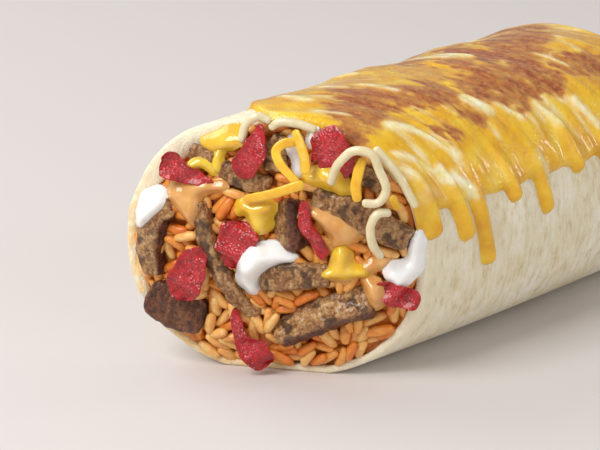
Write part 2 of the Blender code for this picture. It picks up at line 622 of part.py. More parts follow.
def tidy_cuts(piece):
    """Removes the slivers that cutting leaves, and draws apart corners that only touch."""
    shape = bmesh.new()
    shape.from_mesh(piece.data)
    bmesh.ops.triangulate(shape, faces=shape.faces)
    bmesh.ops.dissolve_degenerate(shape, dist=SLIVER * MM, edges=shape.edges)
    shape.normal_update()
    seen = {}
    for vertex in shape.verts:
        place = tuple(round(value / (SLIVER * MM)) for value in vertex.co)
        seen.setdefault(place, []).append(vertex)
    for touching in seen.values():
        if len(touching) > 1:
            for vertex in touching:
                vertex.co -= vertex.normal * (3 * SLIVER * MM)
    shape.to_mesh(piece.data)
    shape.free()


def keep_largest(piece):
    """Drops loose scraps: only the body with the most faces stays."""
    shape = bmesh.new()
    shape.from_mesh(piece.data)
    unseen = set(shape.faces)
    bodies = []
    while unseen:
        body = set()
        front = [unseen.pop()]
        while front:
            face = front.pop()
            body.add(face)
            for edge in face.edges:
                for other in edge.link_faces:
                    if other in unseen:
                        unseen.discard(other)
                        front.append(other)
        bodies.append(body)
    bodies.sort(key=lambda body: sum(face.calc_area() for face in body), reverse=True)
    scraps = [face for body in bodies[1:] for face in body]
    if scraps:
        bmesh.ops.delete(shape, geom=scraps, context="FACES")
    shape.to_mesh(piece.data)
    shape.free()


def make_grain(name, centre, direction, length, material):
    """A grain of cooked rice: five-sided, round-ended and a little bent."""
    direction = direction / np.linalg.norm(direction)
    side = np.cross(direction, [0.0, 0.0, 1.0])
    side /= np.linalg.norm(side)
    out = np.cross(side, direction)
    points = [centre - direction * length / 2]
    for step, girth in ((-0.3, 0.84), (0.0, 1.0), (0.3, 0.84)):
        middle = centre + direction * step * length + side * (0.25 - 2 * step ** 2)
        for corner in range(5):
            turn = 2 * math.pi * corner / 5
            arm = side * math.cos(turn) + out * math.sin(turn)
            points.append(middle + arm * girth * GRAIN_WIDTH / 2)
    points.append(centre + direction * length / 2)
    faces = ring_faces(3, 5, 1)
    faces += [[0, 1 + (i + 1) % 5, 1 + i] for i in range(5)]
    faces += [[16, 11 + i, 11 + (i + 1) % 5] for i in range(5)]
    return make_object(name, from_cut(np.array(points)), faces, material)


def clear_of(trees, points, room):
    """Whether every point keeps a room from all the pieces, and lies inside none."""
    for point in points:
        place = Vector(point * MM)
        for tree in trees:
            hit, normal, _, distance = tree.find_nearest(place, (room + 4.0) * MM)
            if hit is None:
                continue
            if distance < room * MM or (place - hit).dot(normal) < 0:
                return False
    return True


def add_grains(filling, toppings, material):
    """Grains on the bare parts of the cut, joined to the core by one union. One that would
    touch a piece is turned, then shortened, then left out."""
    trees = [BVHTree.FromPolygons([v.co for v in piece.data.vertices],
                                  [p.vertices for p in piece.data.polygons])
             for piece in toppings]
    random = np.random.default_rng(GRAIN_SEED)
    group = bpy.data.collections.new("grains")
    bpy.context.scene.collection.children.link(group)
    made = 0
    rows = int(80 / GRAIN_SPACING)
    for row in range(rows):
        for column in range(rows):
            shift = 0.5 * (row % 2)
            u, v = ((np.array([column + shift, row]) - rows / 2) * GRAIN_SPACING
                    + random.uniform(-0.9, 0.9, 2))
            turns = random.uniform(0, math.pi, 8)
            tilts = random.uniform(-0.25, 0.25, 8)
            angle = math.atan2(u * math.cos(SLANT), v)
            rim_u, rim_v = rim_radius(np.array([angle]))
            reach = math.hypot(u, v) / math.hypot(rim_u[0], rim_v[0])
            if reach > GRAIN_REACH:
                continue
            centre = np.array([u, v, filling_front(u, v, reach) + GRAIN_RISE])
            for turn, tilt, size in zip(turns, tilts, GRAIN_SIZES):
                if reach > RIM_REACH:
                    turn = math.atan2(v, u) + math.pi / 2 + 0.5 * math.cos(3 * turn)
                direction = np.array([math.cos(turn), math.sin(turn), tilt])
                length = GRAIN_LENGTH * size
                steps = np.linspace(-0.42, 0.42, 9)[:, None]
                line = from_cut(centre + direction * length * steps)
                if clear_of(trees, line, GRAIN_WIDTH / 2 + GAP + GRAIN_ROOM):
                    made += 1
                    grain = make_grain(f"grain_{made}", centre, direction, length, material)
                    bpy.context.scene.collection.objects.unlink(grain)
                    group.objects.link(grain)
                    break
    join = filling.modifiers.new("grains", "BOOLEAN")
    join.operation = "UNION"
    join.solver = "MANIFOLD"
    join.operand_type = "COLLECTION"
    join.collection = group
    apply_modifiers(filling)
    for grain in list(group.objects):
        bpy.data.objects.remove(grain)
    bpy.data.collections.remove(group)
    keep_largest(filling)


def main():
    for old in list(bpy.data.objects):
        bpy.data.objects.remove(old)
    flour = make_material("tortilla", (226, 220, 200), 0.7)
    cheese = make_material("cheese_crust", (222, 165, 52), 0.35)
    rice = make_material("rice", (226, 140, 52), 0.4)
    tortilla = make_tortilla(flour)
    toppings = make_toppings()
    stack = [toppings[name] for name in STACK]
    for place, piece in enumerate(stack):
        carve(piece, stack[:place])
    crust = make_crust(cheese, tortilla)
    carve(crust, stack)
    carve(tortilla, stack)
    filling = make_filling(rice)
    rooms = make_rooms(rice)
    carve(filling, rooms, 0.0)
    tidy_cuts(filling)
    for room in rooms:
        bpy.data.objects.remove(room)
    add_grains(filling, stack + [tortilla, crust], rice)
    for piece in [tortilla, crust, filling] + stack:
        piece.data.shade_smooth()
        piece.data.set_sharp_from_angle(angle=math.radians(SHARP))


main()
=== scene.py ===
# %% [markdown]
# # Half of a grilled burrito
#
# A grilled burrito is a soft flour sheet rolled round a hot filling, with cheese melted over its
# top on a griddle. This one is cut on the slant and lies on its side, so the cut shows rice,
# grilled steak, crisp red strips, sour cream, two sauces and shredded cheese. The lesson builds
# each of them as a surface that numpy works out from a formula, and paints it with procedural
# nodes. A plain solid model of the same burrito is loaded first: it says where everything is,
# and the detailed pieces take the places of its plain ones.

import itertools
import math

import bpy
import numpy as np
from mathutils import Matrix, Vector


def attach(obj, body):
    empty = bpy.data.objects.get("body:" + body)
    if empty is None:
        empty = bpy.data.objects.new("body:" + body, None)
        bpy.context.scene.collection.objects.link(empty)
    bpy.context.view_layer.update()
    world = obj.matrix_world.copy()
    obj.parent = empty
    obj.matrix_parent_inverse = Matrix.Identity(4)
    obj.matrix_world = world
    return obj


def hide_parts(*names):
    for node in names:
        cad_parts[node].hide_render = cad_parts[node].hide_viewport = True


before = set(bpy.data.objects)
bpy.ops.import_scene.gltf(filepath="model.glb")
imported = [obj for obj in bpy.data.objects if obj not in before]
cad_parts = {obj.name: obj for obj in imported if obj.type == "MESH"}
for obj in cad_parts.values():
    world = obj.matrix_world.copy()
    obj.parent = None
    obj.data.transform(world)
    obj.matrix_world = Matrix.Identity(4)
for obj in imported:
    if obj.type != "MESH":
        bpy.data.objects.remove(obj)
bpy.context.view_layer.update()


# %% [markdown]
# ## The wrap as a formula
#
# Food has soft, swollen sections, so a circle would look like a pipe. A superellipse is a circle
# whose exponent is raised a little, which gives flatter sides and rounder corners, as a filled
# roll has. Each point of the wrap has an angle from the top towards the right and a length along
# the roll. All sizes are in millimetres, and become metres when a mesh is written.

# %% The surface of the wrap
MM = 0.001
WIDTH = 70.0
HEIGHT = 72.0
FLATTENED = 1.5  # how much of the height is pressed flat against the floor
LENGTH = 139.0
BELLY = 0.07  # how much wider the middle is, as a share
LOWERED = 2.0  # how much lower the far end is
SQUARENESS = 2.25
SLANT = math.radians(30.0)
SLANT_RUN = 60.0  # the length over which the slant of the cut fades out
TUCK = 15.0  # the length of the rounded far end
MIDDLE = np.array([-0.55, 58.3, 0.0])
CENTRE_HEIGHT = HEIGHT / 2 - FLATTENED
FACE_HEIGHT = 35.25  # the height of the cut's own middle


def signed_power(values, exponent):
    """Values raised to a power with their signs kept."""
    return np.sign(values) * np.abs(values) ** exponent


def wrap_points(angle, along, lift=0.0, squeeze=1.0):
    """x = half width * sin(angle)^(2/e) and z = half height * cos(angle)^(2/e), both grown by the
    lift; y = along + x * tan(slant), where the slant fades out along the roll."""
    swell = 1 + BELLY * np.sin(math.pi * np.clip(along / LENGTH, 0, 1))
    low = 1 - LOWERED / HEIGHT * along / LENGTH
    x = (WIDTH / 2 * swell * squeeze + lift) * signed_power(np.sin(angle), 2 / SQUARENESS)
    rise = (HEIGHT / 2 * low * squeeze + lift) * signed_power(np.cos(angle), 2 / SQUARENESS)
    z = np.maximum(CENTRE_HEIGHT * low + rise, -np.minimum(lift, 0.0))
    y = along + x * math.tan(SLANT) * np.clip(1 - along / SLANT_RUN, 0, 1)
    return np.stack(np.broadcast_arrays(x, y, z), axis=-1)


def end_share(along):
    """How far through the rounded end a place is, from 0 to 1."""
    return np.clip((along - LENGTH + TUCK) / TUCK, 0, 1)


def end_squeeze(along):
    """The rounded far end: (1 - s^2)^(1/4), with s the share of the way through the end."""
    return np.clip(1 - end_share(along) ** 2, 0, 1) ** 0.25


def all_round(count):
    """Angles at even steps round a full turn."""
    return np.arange(count) * 2 * math.pi / count


def to_origin(points):
    """Moved so that the half stands over the origin."""
    return points - MIDDLE


def from_cut(points):
    """U runs right along the cut, V up and N out of it: x = U cos + N sin, y = U sin - N cos."""
    u, v, n = np.moveaxis(points, -1, 0)
    x = u * math.cos(SLANT) + n * math.sin(SLANT)
    y = u * math.sin(SLANT) - n * math.cos(SLANT)
    return to_origin(np.stack([x, y, v + FACE_HEIGHT], axis=-1))


def to_cut(points):
    """The reverse of from_cut: U = x cos + y sin, N = x sin - y cos, V = z less its middle."""
    x, y, z = np.moveaxis(points + MIDDLE, -1, 0)
    u = x * math.cos(SLANT) + y * math.sin(SLANT)
    n = x * math.sin(SLANT) - y * math.cos(SLANT)
    return np.stack([u, z - FACE_HEIGHT, n], axis=-1)


# %% [markdown]
# ## Unevenness
#
# Nothing cooked is smooth or regular. Value noise is the simplest way to get natural
# unevenness: a random value at each corner of a lattice, mixed smoothly in between. Added up at
# several sizes it makes lumps with smaller lumps on them. It is worked out here for whole arrays
# of points at once, and it gives the same result on every run.

# %% Noise
LATTICE_TURN = np.array([[0.36, 0.48, -0.80], [-0.80, 0.60, 0.00], [0.48, 0.64, 0.60]])


def lattice_values(cell, seed):
    """A value from 0 to 1 for each whole-number corner: its three numbers are multiplied by large
    odd numbers, added and shuffled."""
    mixed = cell[..., 0] * 374761393 + cell[..., 1] * 668265263 + cell[..., 2] * 1274126177
    mixed = (mixed + seed * 97531) & 0xFFFFFFFF
    mixed = ((mixed ^ (mixed >> 13)) * 1274126177) & 0xFFFFFFFF
    return ((mixed ^ (mixed >> 16)) & 0xFFFFFFFF) / 0xFFFFFFFF


def noise(points, size, seed=0):
    """Lattice values mixed by 3t^2 - 2t^3 in each direction, from -1 to 1. The lattice is turned,
    so that its rows don't run along with the food."""
    scaled = points @ LATTICE_TURN / size
    base = np.floor(scaled).astype(np.int64)
    share = scaled - base
    share = share * share * (3 - 2 * share)
    total = np.zeros(scaled.shape[:-1])
    for corner in itertools.product((0, 1), repeat=3):
        weight = np.prod(np.where(corner, share, 1 - share), axis=-1)
        total += weight * lattice_values(base + corner, seed)
    return 2 * total - 1


def rough(points, size, octaves, seed):
    """Noises of half the size and half the strength each time, added up."""
    steps = range(octaves)
    total = sum(noise(points, size / 2 ** step, seed + step) / 2 ** step for step in steps)
    return total / (2 - 2.0 ** (1 - octaves))


def rough_sheet(x, y, size, octaves, seed):
    """The same for places on a flat sheet."""
    return rough(np.stack(np.broadcast_arrays(x, y, 0.0), axis=-1), size, octaves, seed)


def smooth_step(low, high, values):
    """0 below low, 1 above high, and 3t^2 - 2t^3 in between."""
    t = np.clip((values - low) / (high - low), 0, 1)
    return t * t * (3 - 2 * t)


def round_edge(inside, radius):
    """A quarter circle: 0 at the edge, and 1 from a radius inside it."""
    return np.sqrt(1 - (1 - np.clip(inside / radius, 0, 1)) ** 2)


print("noise from", noise(np.mgrid[0:9, 0:9, 0:9].T.reshape(-1, 3), 3.7).round(2)[:4])

# %% [markdown]
# ## From arrays to meshes
#
# A grid of points needs only its rows and columns to be joined by four-cornered faces. The
# helpers below write whole arrays into a mesh at once, which is much faster than adding faces
# one by one. They also work out the enclosed volume, and turn the faces round if it comes out
# negative, because every face must look outwards.

# %% Mesh helpers
def grid_faces(rows, columns, closed=True):
    """Faces between neighbouring rows; a closed grid also joins its last column to its first."""
    row = np.arange(rows - 1)[:, None] * columns
    column = np.arange(columns if closed else columns - 1)
    after = (column + 1) % columns
    quads = [row + column, row + after, row + columns + after, row + columns + column]
    return np.stack(quads, axis=-1).reshape(-1, 4)


def fan_faces(first, columns, pole):
    """Triangles from a pole to a ring that starts at the first point."""
    column = np.arange(columns)
    after = (column + 1) % columns
    return np.stack([first + column, first + after, np.full(columns, pole)], axis=-1)


def closed_tube(rings):
    """Points and faces of a tube whose first and last rings have shrunk to a point."""
    rows, columns = rings.shape[:2]
    middle = rings[1:-1].reshape(-1, 3)
    points = np.concatenate([middle, rings[0, :1], rings[-1, :1]])
    faces = [grid_faces(rows - 2, columns), fan_faces(0, columns, len(middle))[:, ::-1],
             fan_faces((rows - 3) * columns, columns, len(middle) + 1)]
    return points, faces


def tube_values(values):
    """The same order of points for values given at every place of a closed tube's grid."""
    return np.concatenate([values[1:-1].ravel(), values[0, :1], values[-1, :1]])


def shrunk_ring(point, columns):
    """One point in every column, as the end of a tube."""
    return np.broadcast_to(point, (1, columns, 3))


def trimmed_shell(top, under, inside, skirt):
    """Two sheets over one grid, kept where inside is above -skirt, with walls between their
    borders. A border is a step between corners of a kept face that no neighbour walks back.
    Also the numbers of the points used, which come from top first and then from under."""
    quads = grid_faces(*inside.shape, closed=False)
    kept = quads[(inside.ravel()[quads] > -skirt).any(axis=1)]
    count = inside.size
    a, b = np.stack([kept, np.roll(kept, -1, axis=1)]).reshape(2, -1)
    alone = ~np.isin(a * count + b, b * count + a)
    a, b = a[alone], b[alone]
    walls = np.stack([b, a, a + count, b + count], axis=-1)
    faces = np.concatenate([kept, kept[:, ::-1] + count, walls])
    points = np.concatenate([top.reshape(-1, 3), under.reshape(-1, 3)])
    used, faces = np.unique(faces, return_inverse=True)
    return points[used], [faces.reshape(-1, 4)], used


# %% A piece from arrays
def enclosed_volume(points, faces):
    """The sum over all triangles of a . (b x c) / 6."""
    total = 0.0
    for part in faces:
        for corner in range(1, part.shape[1] - 1):
            a, b, c = points[part[:, 0]], points[part[:, corner]], points[part[:, corner + 1]]
            total += np.einsum("ij,ij->", a, np.cross(b, c)) / 6
    return total


def make_piece(name, points, faces, material, slot, node=None, **attributes):
    """A mesh from arrays of points in millimetres and of faces, riding on the model."""
    if enclosed_volume(points, faces) < 0:
        faces = [part[:, ::-1] for part in faces]
    corners = np.concatenate([part.ravel() for part in faces])
    sizes = np.concatenate([np.full(len(part), part.shape[1]) for part in faces])
    mesh = bpy.data.meshes.new(name)
    mesh.vertices.add(len(points))
    mesh.vertices.foreach_set("co", (points * MM).ravel())
    mesh.loops.add(len(corners))
    mesh.loops.foreach_set("vertex_index", corners)
    mesh.polygons.add(len(sizes))
    mesh.polygons.foreach_set("loop_start", np.cumsum(sizes) - sizes)
    for key, values in attributes.items():
        mesh.attributes.new(key, "FLOAT", "POINT").data.foreach_set("value", values)
    mesh.update(calc_edges=True)
    mesh.shade_smooth()
    mesh.materials.append(material)
    piece = bpy.data.objects.new(name, mesh)
    bpy.context.scene.collection.objects.link(piece)
    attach(piece, "root")
    if node:
        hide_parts(node)
    return piece


def triangles_of(piece):
    """A face with n corners is n - 2 triangles."""
    return sum(len(face.vertices) - 2 for face in piece.data.polygons)


# %% [markdown]
# ## Materials
#
# Every material is a Principled shader with a few nodes in front of it. They all start from
# Object coordinates or from values stored in the mesh, so a pattern stays on the food when the
# camera moves. The class below has a short method for each kind of node, so that a finish reads
# like a recipe: a mottled colour, others blended over it, and a fine relief.

# %% Node helpers
def linear(red, green, blue):
    """A colour as the eye names it, turned into the values a shader mixes."""
    return [(value / 255) ** 2.2 for value in (red, green, blue)] + [1.0]


class Finish:
    """A material in the making; values name inputs of its Principled shader."""

    def __init__(self, name, **values):
        self.material = bpy.data.materials.new(name)
        self.material.use_nodes = True
        self.tree = self.material.node_tree
        self.shader = self.tree.nodes["Principled BSDF"]
        for key, value in values.items():
            self.give(self.shader.inputs[key.replace("_", " ")], value)

    def give(self, entry, value):
        """Joins another node to an input, or sets the input to a value."""
        if isinstance(value, bpy.types.NodeSocket):
            self.tree.links.new(value, entry)
        else:
            entry.default_value = value

    def add(self, kind, values, **settings):
        """A node with its settings, its inputs given values or joined to other nodes."""
        node = self.tree.nodes.new("ShaderNode" + kind)
        for key, value in settings.items():
            setattr(node, key, value)
        for key, value in values.items():
            self.give(node.inputs[key], value)
        return node

    def place(self):
        """Where on the piece, in its own coordinates."""
        return self.add("TexCoord", {}).outputs["Object"]

    def stored(self, name):
        """A value that the mesh holds at each of its points."""
        return self.add("Attribute", {}, attribute_name=name).outputs["Fac"]

    def speckle(self, size, detail=3.0, sharp=0.5, place=None):
        """Noise with features of a size in millimetres."""
        values = {"Vector": place or self.place(), "Scale": 1 / (size * MM), "Detail": detail,
                  "Roughness": sharp}
        return self.add("TexNoise", values).outputs["Fac"]

    def ramp(self, value, *stops):
        """Colours at places from 0 to 1, blended in between."""
        node = self.add("ValToRGB", {"Fac": value})
        band = node.color_ramp
        while len(band.elements) < len(stops):
            band.elements.new(0.5)
        for element, (place, colour) in zip(band.elements, stops):
            element.position = place
            element.color = linear(*colour)
        return node.outputs["Color"]

    def mottle(self, noise_of, *stops):
        """Speckle of a size, a detail and a sharpness, turned into colours."""
        return self.ramp(self.speckle(*noise_of), *stops)

    def blend(self, share, first, second, how="MIX"):
        """Two colours mixed; each comes from a node or is a colour as the eye names it."""
        first, second = (linear(*c) if isinstance(c, tuple) else c for c in (first, second))
        values = {0: share, 6: first, 7: second}
        return self.add("Mix", values, data_type="RGBA", blend_type=how).outputs[2]

    def reckon(self, operation, first, second, clamp=False):
        """One sum; clamp keeps it from 0 to 1."""
        values = {0: first, 1: second}
        return self.add("Math", values, operation=operation, use_clamp=clamp).outputs[0]

    def times(self, first, second, clamp=False):
        return self.reckon("MULTIPLY", first, second, clamp)

    def rescale(self, value, low, high, to_low=0.0, to_high=1.0):
        """The stretch from low to high, moved to another one."""
        values = {"Value": value, "From Min": low, "From Max": high, "To Min": to_low,
                  "To Max": to_high}
        return self.add("MapRange", values).outputs[0]

    def finished(self, colour, height, depth):
        """The material with its colour, and a relief in the shading, its depth in millimetres."""
        values = {"Height": height, "Distance": depth * MM, "Strength": 1.0}
        self.give(self.shader.inputs["Base Color"], colour)
        self.give(self.shader.inputs["Normal"], self.add("Bump", values).outputs[0])
        return self.material


# %% [markdown]
# ## The camera
#
# The photograph looks down at the cut from the right. A long lens from far away keeps the
# roll's sides nearly parallel, as in the picture.

# %% Camera
AZIMUTH = math.radians(43.0)
ELEVATION = math.radians(19.0)
back = Vector((math.sin(AZIMUTH) * math.cos(ELEVATION),
               -math.cos(AZIMUTH) * math.cos(ELEVATION), math.sin(ELEVATION)))
lens = bpy.data.cameras.new("camera")
lens.lens = 192.27
lens.sensor_width = 36.0
camera = bpy.data.objects.new("camera", lens)
camera.location = (0.55208, -0.64041, 0.31725)
camera.rotation_euler = back.to_track_quat("Z", "Y").to_euler()
bpy.context.scene.collection.objects.link(camera)
bpy.context.scene.camera = camera
print("camera at", tuple(round(v, 3) for v in camera.location))

# %% [markdown]
# ## The tortilla
#
# The sheet is soft wheat dough, pale cream, about 2 mm thick, and it lies double at the upper
# left. One grid goes round it and along it: a little way back inside, round the edge of the cut
# and over the outside. The dents come from noise on the surface, so that they catch the light as
# the real ones do. Its mottles are drawn out round the roll, as the sheet was stretched.

# %% Tortilla shape
WALL = 2.0
DOUBLE_WALL = 2.6
DOUBLE_AT = -42  # degrees from the top
END_WALL = 3.0
RIM_ROUND = 0.9
SHEET_COLUMNS = 400
SHEET_ROWS = 140
END_ROWS = 70
UNROLLED = 34  # the radius that places for noise are laid on


def lumps(angle, along):
    """Two waves that cross: the soft lumps of the filling, felt through the sheet."""
    return (0.45 * np.sin(3 * angle + along / 11) * np.sin(along / 9)
            + 0.3 * np.sin(7 * angle - along / 6))


def seam(angle):
    """The sheet's outer edge: a step at the lower left that fades away round the wrap."""
    turn = np.mod(np.degrees(angle) + 140, 360)
    return np.interp(turn, (0, 6, 140, 360), (0.0, 1.1, 0.25, 0.0))


def outer_lift(angle, along):
    """Lumps and seam, dying out towards the flat underside."""
    upper = np.clip((np.cos(angle) + 0.75) / 0.5, 0, 1)
    return (lumps(angle, along) + seam(angle)) * upper


def wall_at(angle):
    """The wall, and exp(-(turn / 30)^4) of the double wall, with the turn from its middle."""
    turn = np.degrees(np.arctan2(np.sin(angle), np.cos(angle)))
    return WALL + DOUBLE_WALL * np.exp(-((turn - DOUBLE_AT) / 30) ** 4)


def surface_place(angle, along):
    """A place for noise: unrolled, so that it has no seam, as (round, round, along)."""
    return np.stack(np.broadcast_arrays(UNROLLED * np.cos(angle), UNROLLED * np.sin(angle), along),
                    axis=-1)


def end_folds(points, share):
    """The far end's folds: a flap over two tucks, pushed along the roll, growing with share."""
    x = points[..., 0]
    z = points[..., 2] - CENTRE_HEIGHT
    flap = smooth_step(0, 1.4, z + 4 + 0.12 * np.abs(x)) * 1.9
    tucks = -1.6 * np.exp(-((np.abs(x) - 12 - 0.5 * np.abs(z)) / 2.6) ** 2)
    return (flap + tucks - 1.2) * share


# %% Tortilla rings
def outside_rings(angle, ragged):
    """The wrap's surface with lumps and dents; its front is as ragged as the rim, and its far
    end is folded."""
    narrowed = np.linspace(1, 0, END_ROWS)[1:-1]
    along = np.concatenate([np.linspace(RIM_ROUND, LENGTH - TUCK, SHEET_ROWS),
                            LENGTH - TUCK + TUCK * np.sqrt(1 - narrowed ** 4)])[:, None]
    place = surface_place(angle, along)
    dents = 0.16 * rough(place, 5.0, 3, 1) + 0.07 * rough(place, 1.6, 2, 5)
    upper = np.clip((np.cos(angle) + 0.85) / 0.4, 0, 1)
    rings = wrap_points(angle, along, outer_lift(angle, along) + dents * upper, end_squeeze(along))
    rings[..., 1] += end_folds(rings, end_share(along) ** 2)
    rings[..., 1] += ragged * np.exp(-(along - RIM_ROUND) / 2)
    return rings


def rim_rings(angle, ragged):
    """Half a circle from the outside to the inside of the sheet, as thick as the wall there."""
    theta = np.linspace(0, math.pi, 9)[1:, None]
    wall = wall_at(angle) * (1 + 0.12 * rough(surface_place(angle, 0.0), 4.0, 2, 12))
    depth = outer_lift(angle, 0.0) * (1 + np.cos(theta)) / 2 - wall * (1 - np.cos(theta)) / 2
    return wrap_points(angle, RIM_ROUND * (1 - np.sin(theta)) + ragged, depth)


def make_tortilla(material):
    """All the rings, from the inside's floor over the rim to the middle of the far end; rim
    fades with the distance behind the edge as exp(-d / 1.8), and stain is rim, low down."""
    angle = all_round(SHEET_COLUMNS)
    ragged = 0.5 * rough(surface_place(angle, 0.0), 5.0, 3, 9)
    outside = outside_rings(angle, ragged)
    along = np.array([3.0, 20.0, 60.0, 105.0, 124.0, 133.0])[:, None]
    inside = wrap_points(angle, along, -wall_at(angle), end_squeeze(along + END_WALL))
    floor = wrap_points(np.zeros(1), LENGTH - END_WALL, 0.0, 0.0)
    rings = np.concatenate([shrunk_ring(floor, SHEET_COLUMNS), inside[::-1],
                            rim_rings(angle, ragged)[::-1], outside,
                            shrunk_ring(outside[-1].mean(axis=0), SHEET_COLUMNS)])
    points, faces = closed_tube(rings)
    rim = np.exp(-np.maximum(rings[..., 1] - rings[len(inside), :, 1], 0) / 1.8)
    stain = rim * smooth_step(0.1, 0.9, -np.cos(angle - 0.9))
    return make_piece("flour_tortilla", to_origin(points), faces, material, "tortilla",
                      "tortilla", stain=tube_values(stain), rim=tube_values(rim))


# %% Tortilla finish
def tortilla_finish():
    """Cream mottles times large patches, then the floury rim, and the stain of
    sauce, which soaks in unevenly."""
    look = Finish("tortilla", Roughness=0.62, Subsurface_Weight=0.12, Subsurface_Scale=0.004,
                  Subsurface_Radius=(1.0, 0.7, 0.4))
    drawn_out = look.add("VectorMath", {0: look.place(), 1: (0.45, 1.3, 0.45)},
                         operation="MULTIPLY").outputs[0]
    mottled = look.mottle((2.2, 5.0, 0.66, drawn_out), (0.32, (222, 209, 176)),
                          (0.47, (246, 239, 218)), (0.66, (255, 252, 243)))
    patches = look.mottle((16.0,), (0.35, (242, 235, 216)), (0.65, (255, 253, 248)))
    colour = look.blend(1.0, mottled, patches, "MULTIPLY")
    colour = look.blend(look.stored("rim"), colour, (248, 236, 206))
    soaked = look.rescale(look.speckle(3.0), 0.35, 0.6)
    colour = look.blend(look.times(look.stored("stain"), soaked, clamp=True), colour,
                        (244, 208, 148))
    height = look.reckon("ADD", look.speckle(1.3, 4.0, place=drawn_out),
                         look.times(look.speckle(0.4, 2.0), 0.35))
    return look.finished(colour, height, 0.75)


tortilla = make_tortilla(tortilla_finish())
print("tortilla triangles", triangles_of(tortilla))

# %% [markdown]
# ## The melted cheese
#
# Two cheeses are melted over the wrap, an orange one and a white one, then pressed on a hot
# griddle. So the sheet of cheese is streaky, runs down the side in rounded tongues, and is
# browned in patches on top. Its outline is a distance: how far a place lies inside the cheese.
# From that distance the thickness follows, round at the edge, and the same distance cuts the
# grid to shape. Modelling tongues one by one and joining them would leave seams.

# %% Cheese outline
ARC = 36.5  # the radius that turns an angle into a length round the roll
CRUST_EDGE = 72.0  # degrees down each side, before the drips
CRUST_END = 126.0
FRONT_LIP = 1.2
# Each drip: place along the right side, how far round it ends on the right and on the left
DRIPS = ((22.5, 84, 76), (34.5, 88, 92), (43.5, 99, 80), (54.5, 79, 88), (68.0, 88, 72),
         (82.0, 76, 90), (97.0, 90, 80), (113.0, 78, 86))
FIRST_LEFT_DRIP = 40
DRIP_RADIUS = 2.6
DRIP_ROOT = 2.9  # the radius where it starts
DRIP_LEAN = 0.24
DRIP_RUN = 20.0
DRIP_FILLET = 0.6


def tongue(x, y, first, last):
    """How far inside a straight tongue between two discs (x, y, radius) a place lies: the radius
    there less the distance to the nearest point of the middle line. Also the share of the way
    along the line, and the distance to it."""
    line = np.subtract(last[:2], first[:2])
    t = np.clip(((x - first[0]) * line[0] + (y - first[1]) * line[1]) / line.dot(line), 0, 1)
    away = np.hypot(x - first[0] - t * line[0], y - first[1] - t * line[1])
    return first[2] + (last[2] - first[2]) * t - away, t, away


def row_inside(x, y, discs):
    """The most, over the tongues between neighbouring discs, of the distance inside."""
    return np.max([tongue(x, y, *pair)[0] for pair in zip(discs, discs[1:])], axis=0)


def soft_most(a, b, room):
    """The larger of two values, with a fillet where they meet: log of the added powers."""
    return room * np.logaddexp(a / room, b / room)


def cheese_inside(angle, along, y):
    """Distance inside the cheese's outline, and the ridges that its tongues make."""
    s = ARC * angle
    wave = 1.2 * rough_sheet(7.0, y, 7.0, 2, 21)
    open_rim = np.interp(along, (0, 22, 36, 200), (2.0, 36.0, 90.0, 90.0))
    right = ARC * math.radians(CRUST_EDGE) - s + wave
    left = s + ARC * np.radians(np.minimum(CRUST_EDGE, open_rim)) + wave
    inside = np.minimum(np.minimum(right, left), CRUST_END + 2.5 * wave - along)
    ridge = np.zeros_like(s)
    for place, reach_right, reach_left in DRIPS:
        for side, reach in ((1, reach_right), (-1, reach_left)):
            if side < 0 and place < FIRST_LEFT_DRIP:
                continue
            tip = side * (ARC * math.radians(reach) - DRIP_RADIUS)
            start = (tip - side * DRIP_RUN, place - DRIP_LEAN * DRIP_RUN, DRIP_ROOT)
            depth, t, away = tongue(s, y, start, (tip, place, DRIP_RADIUS))
            inside = soft_most(inside, depth, DRIP_FILLET)
            ridge += np.exp(-(away / 2.0) ** 2) * smooth_step(0, 0.45, t)
    return inside, ridge


# %% Cheese browning
# Where the griddle browned the cheese and where white shreds melted into it: each stroke runs
# from one place to another, as (degrees, y, degrees, y, radius in mm)
SCORCHES = ((24, 10, 18, 14, 6), (20, 14, 6, 28, 8.5), (8, 30, 19, 47, 8), (38, 37, 43, 40, 2.6),
            (33, 49, 38, 51, 3.4), (22, 62, 32, 70, 7), (20, 74, 26, 86, 9), (-4, 68, 8, 71, 3.2),
            (-14, 84, 6, 82, 4.5), (-16, 58, -8, 64, 3.2), (8, 90, -6, 106, 9),
            (24, 98, 30, 114, 6), (-34, 72, -30, 92, 6), (-26, 112, -14, 118, 6),
            (-50, 52, -42, 60, 4))
PALE_STREAKS = ((29, 21, 34, 28, 1.9), (34, 28, 44, 32, 1.3), (44, 32, 52, 37, 0.9),
                (44, 18, 49, 22, 0.8), (49, 22, 62, 30, 0.9), (51, 16, 57, 19, 0.8),
                (60, 33, 70, 38, 1.8), (56, 29, 62, 31, 1.4), (27, 54, 35, 57, 2.4),
                (-14, 30, -5, 31, 1.6), (-10, 74, 0, 78, 1.7), (-2, 36, 10, 38, 1.5),
                (8, 9, 17, 14, 1.2), (-13, 14, -3, 14, 1.8), (-16, 69, -4, 73, 2.0),
                (34, 62, 44, 66, 1.0), (40, 75, 52, 79, 1.4), (12, 96, 26, 99, 1.0),
                (44, 90, 58, 94, 1.3), (-30, 44, -18, 46, 1.3), (-52, 84, -40, 86, 1.2),
                (30, 116, 44, 119, 1.2), (-44, 104, -30, 105, 1.1), (62, 66, 74, 69, 1.2))


def strokes_inside(s, y, strokes):
    """The most, over the strokes, of the distance inside, all in millimetres."""
    discs = [((ARC * math.radians(a), b, r), (ARC * math.radians(c), d, r))
             for a, b, c, d, r in strokes]
    return np.max([row_inside(s, y, pair) for pair in discs], axis=0)


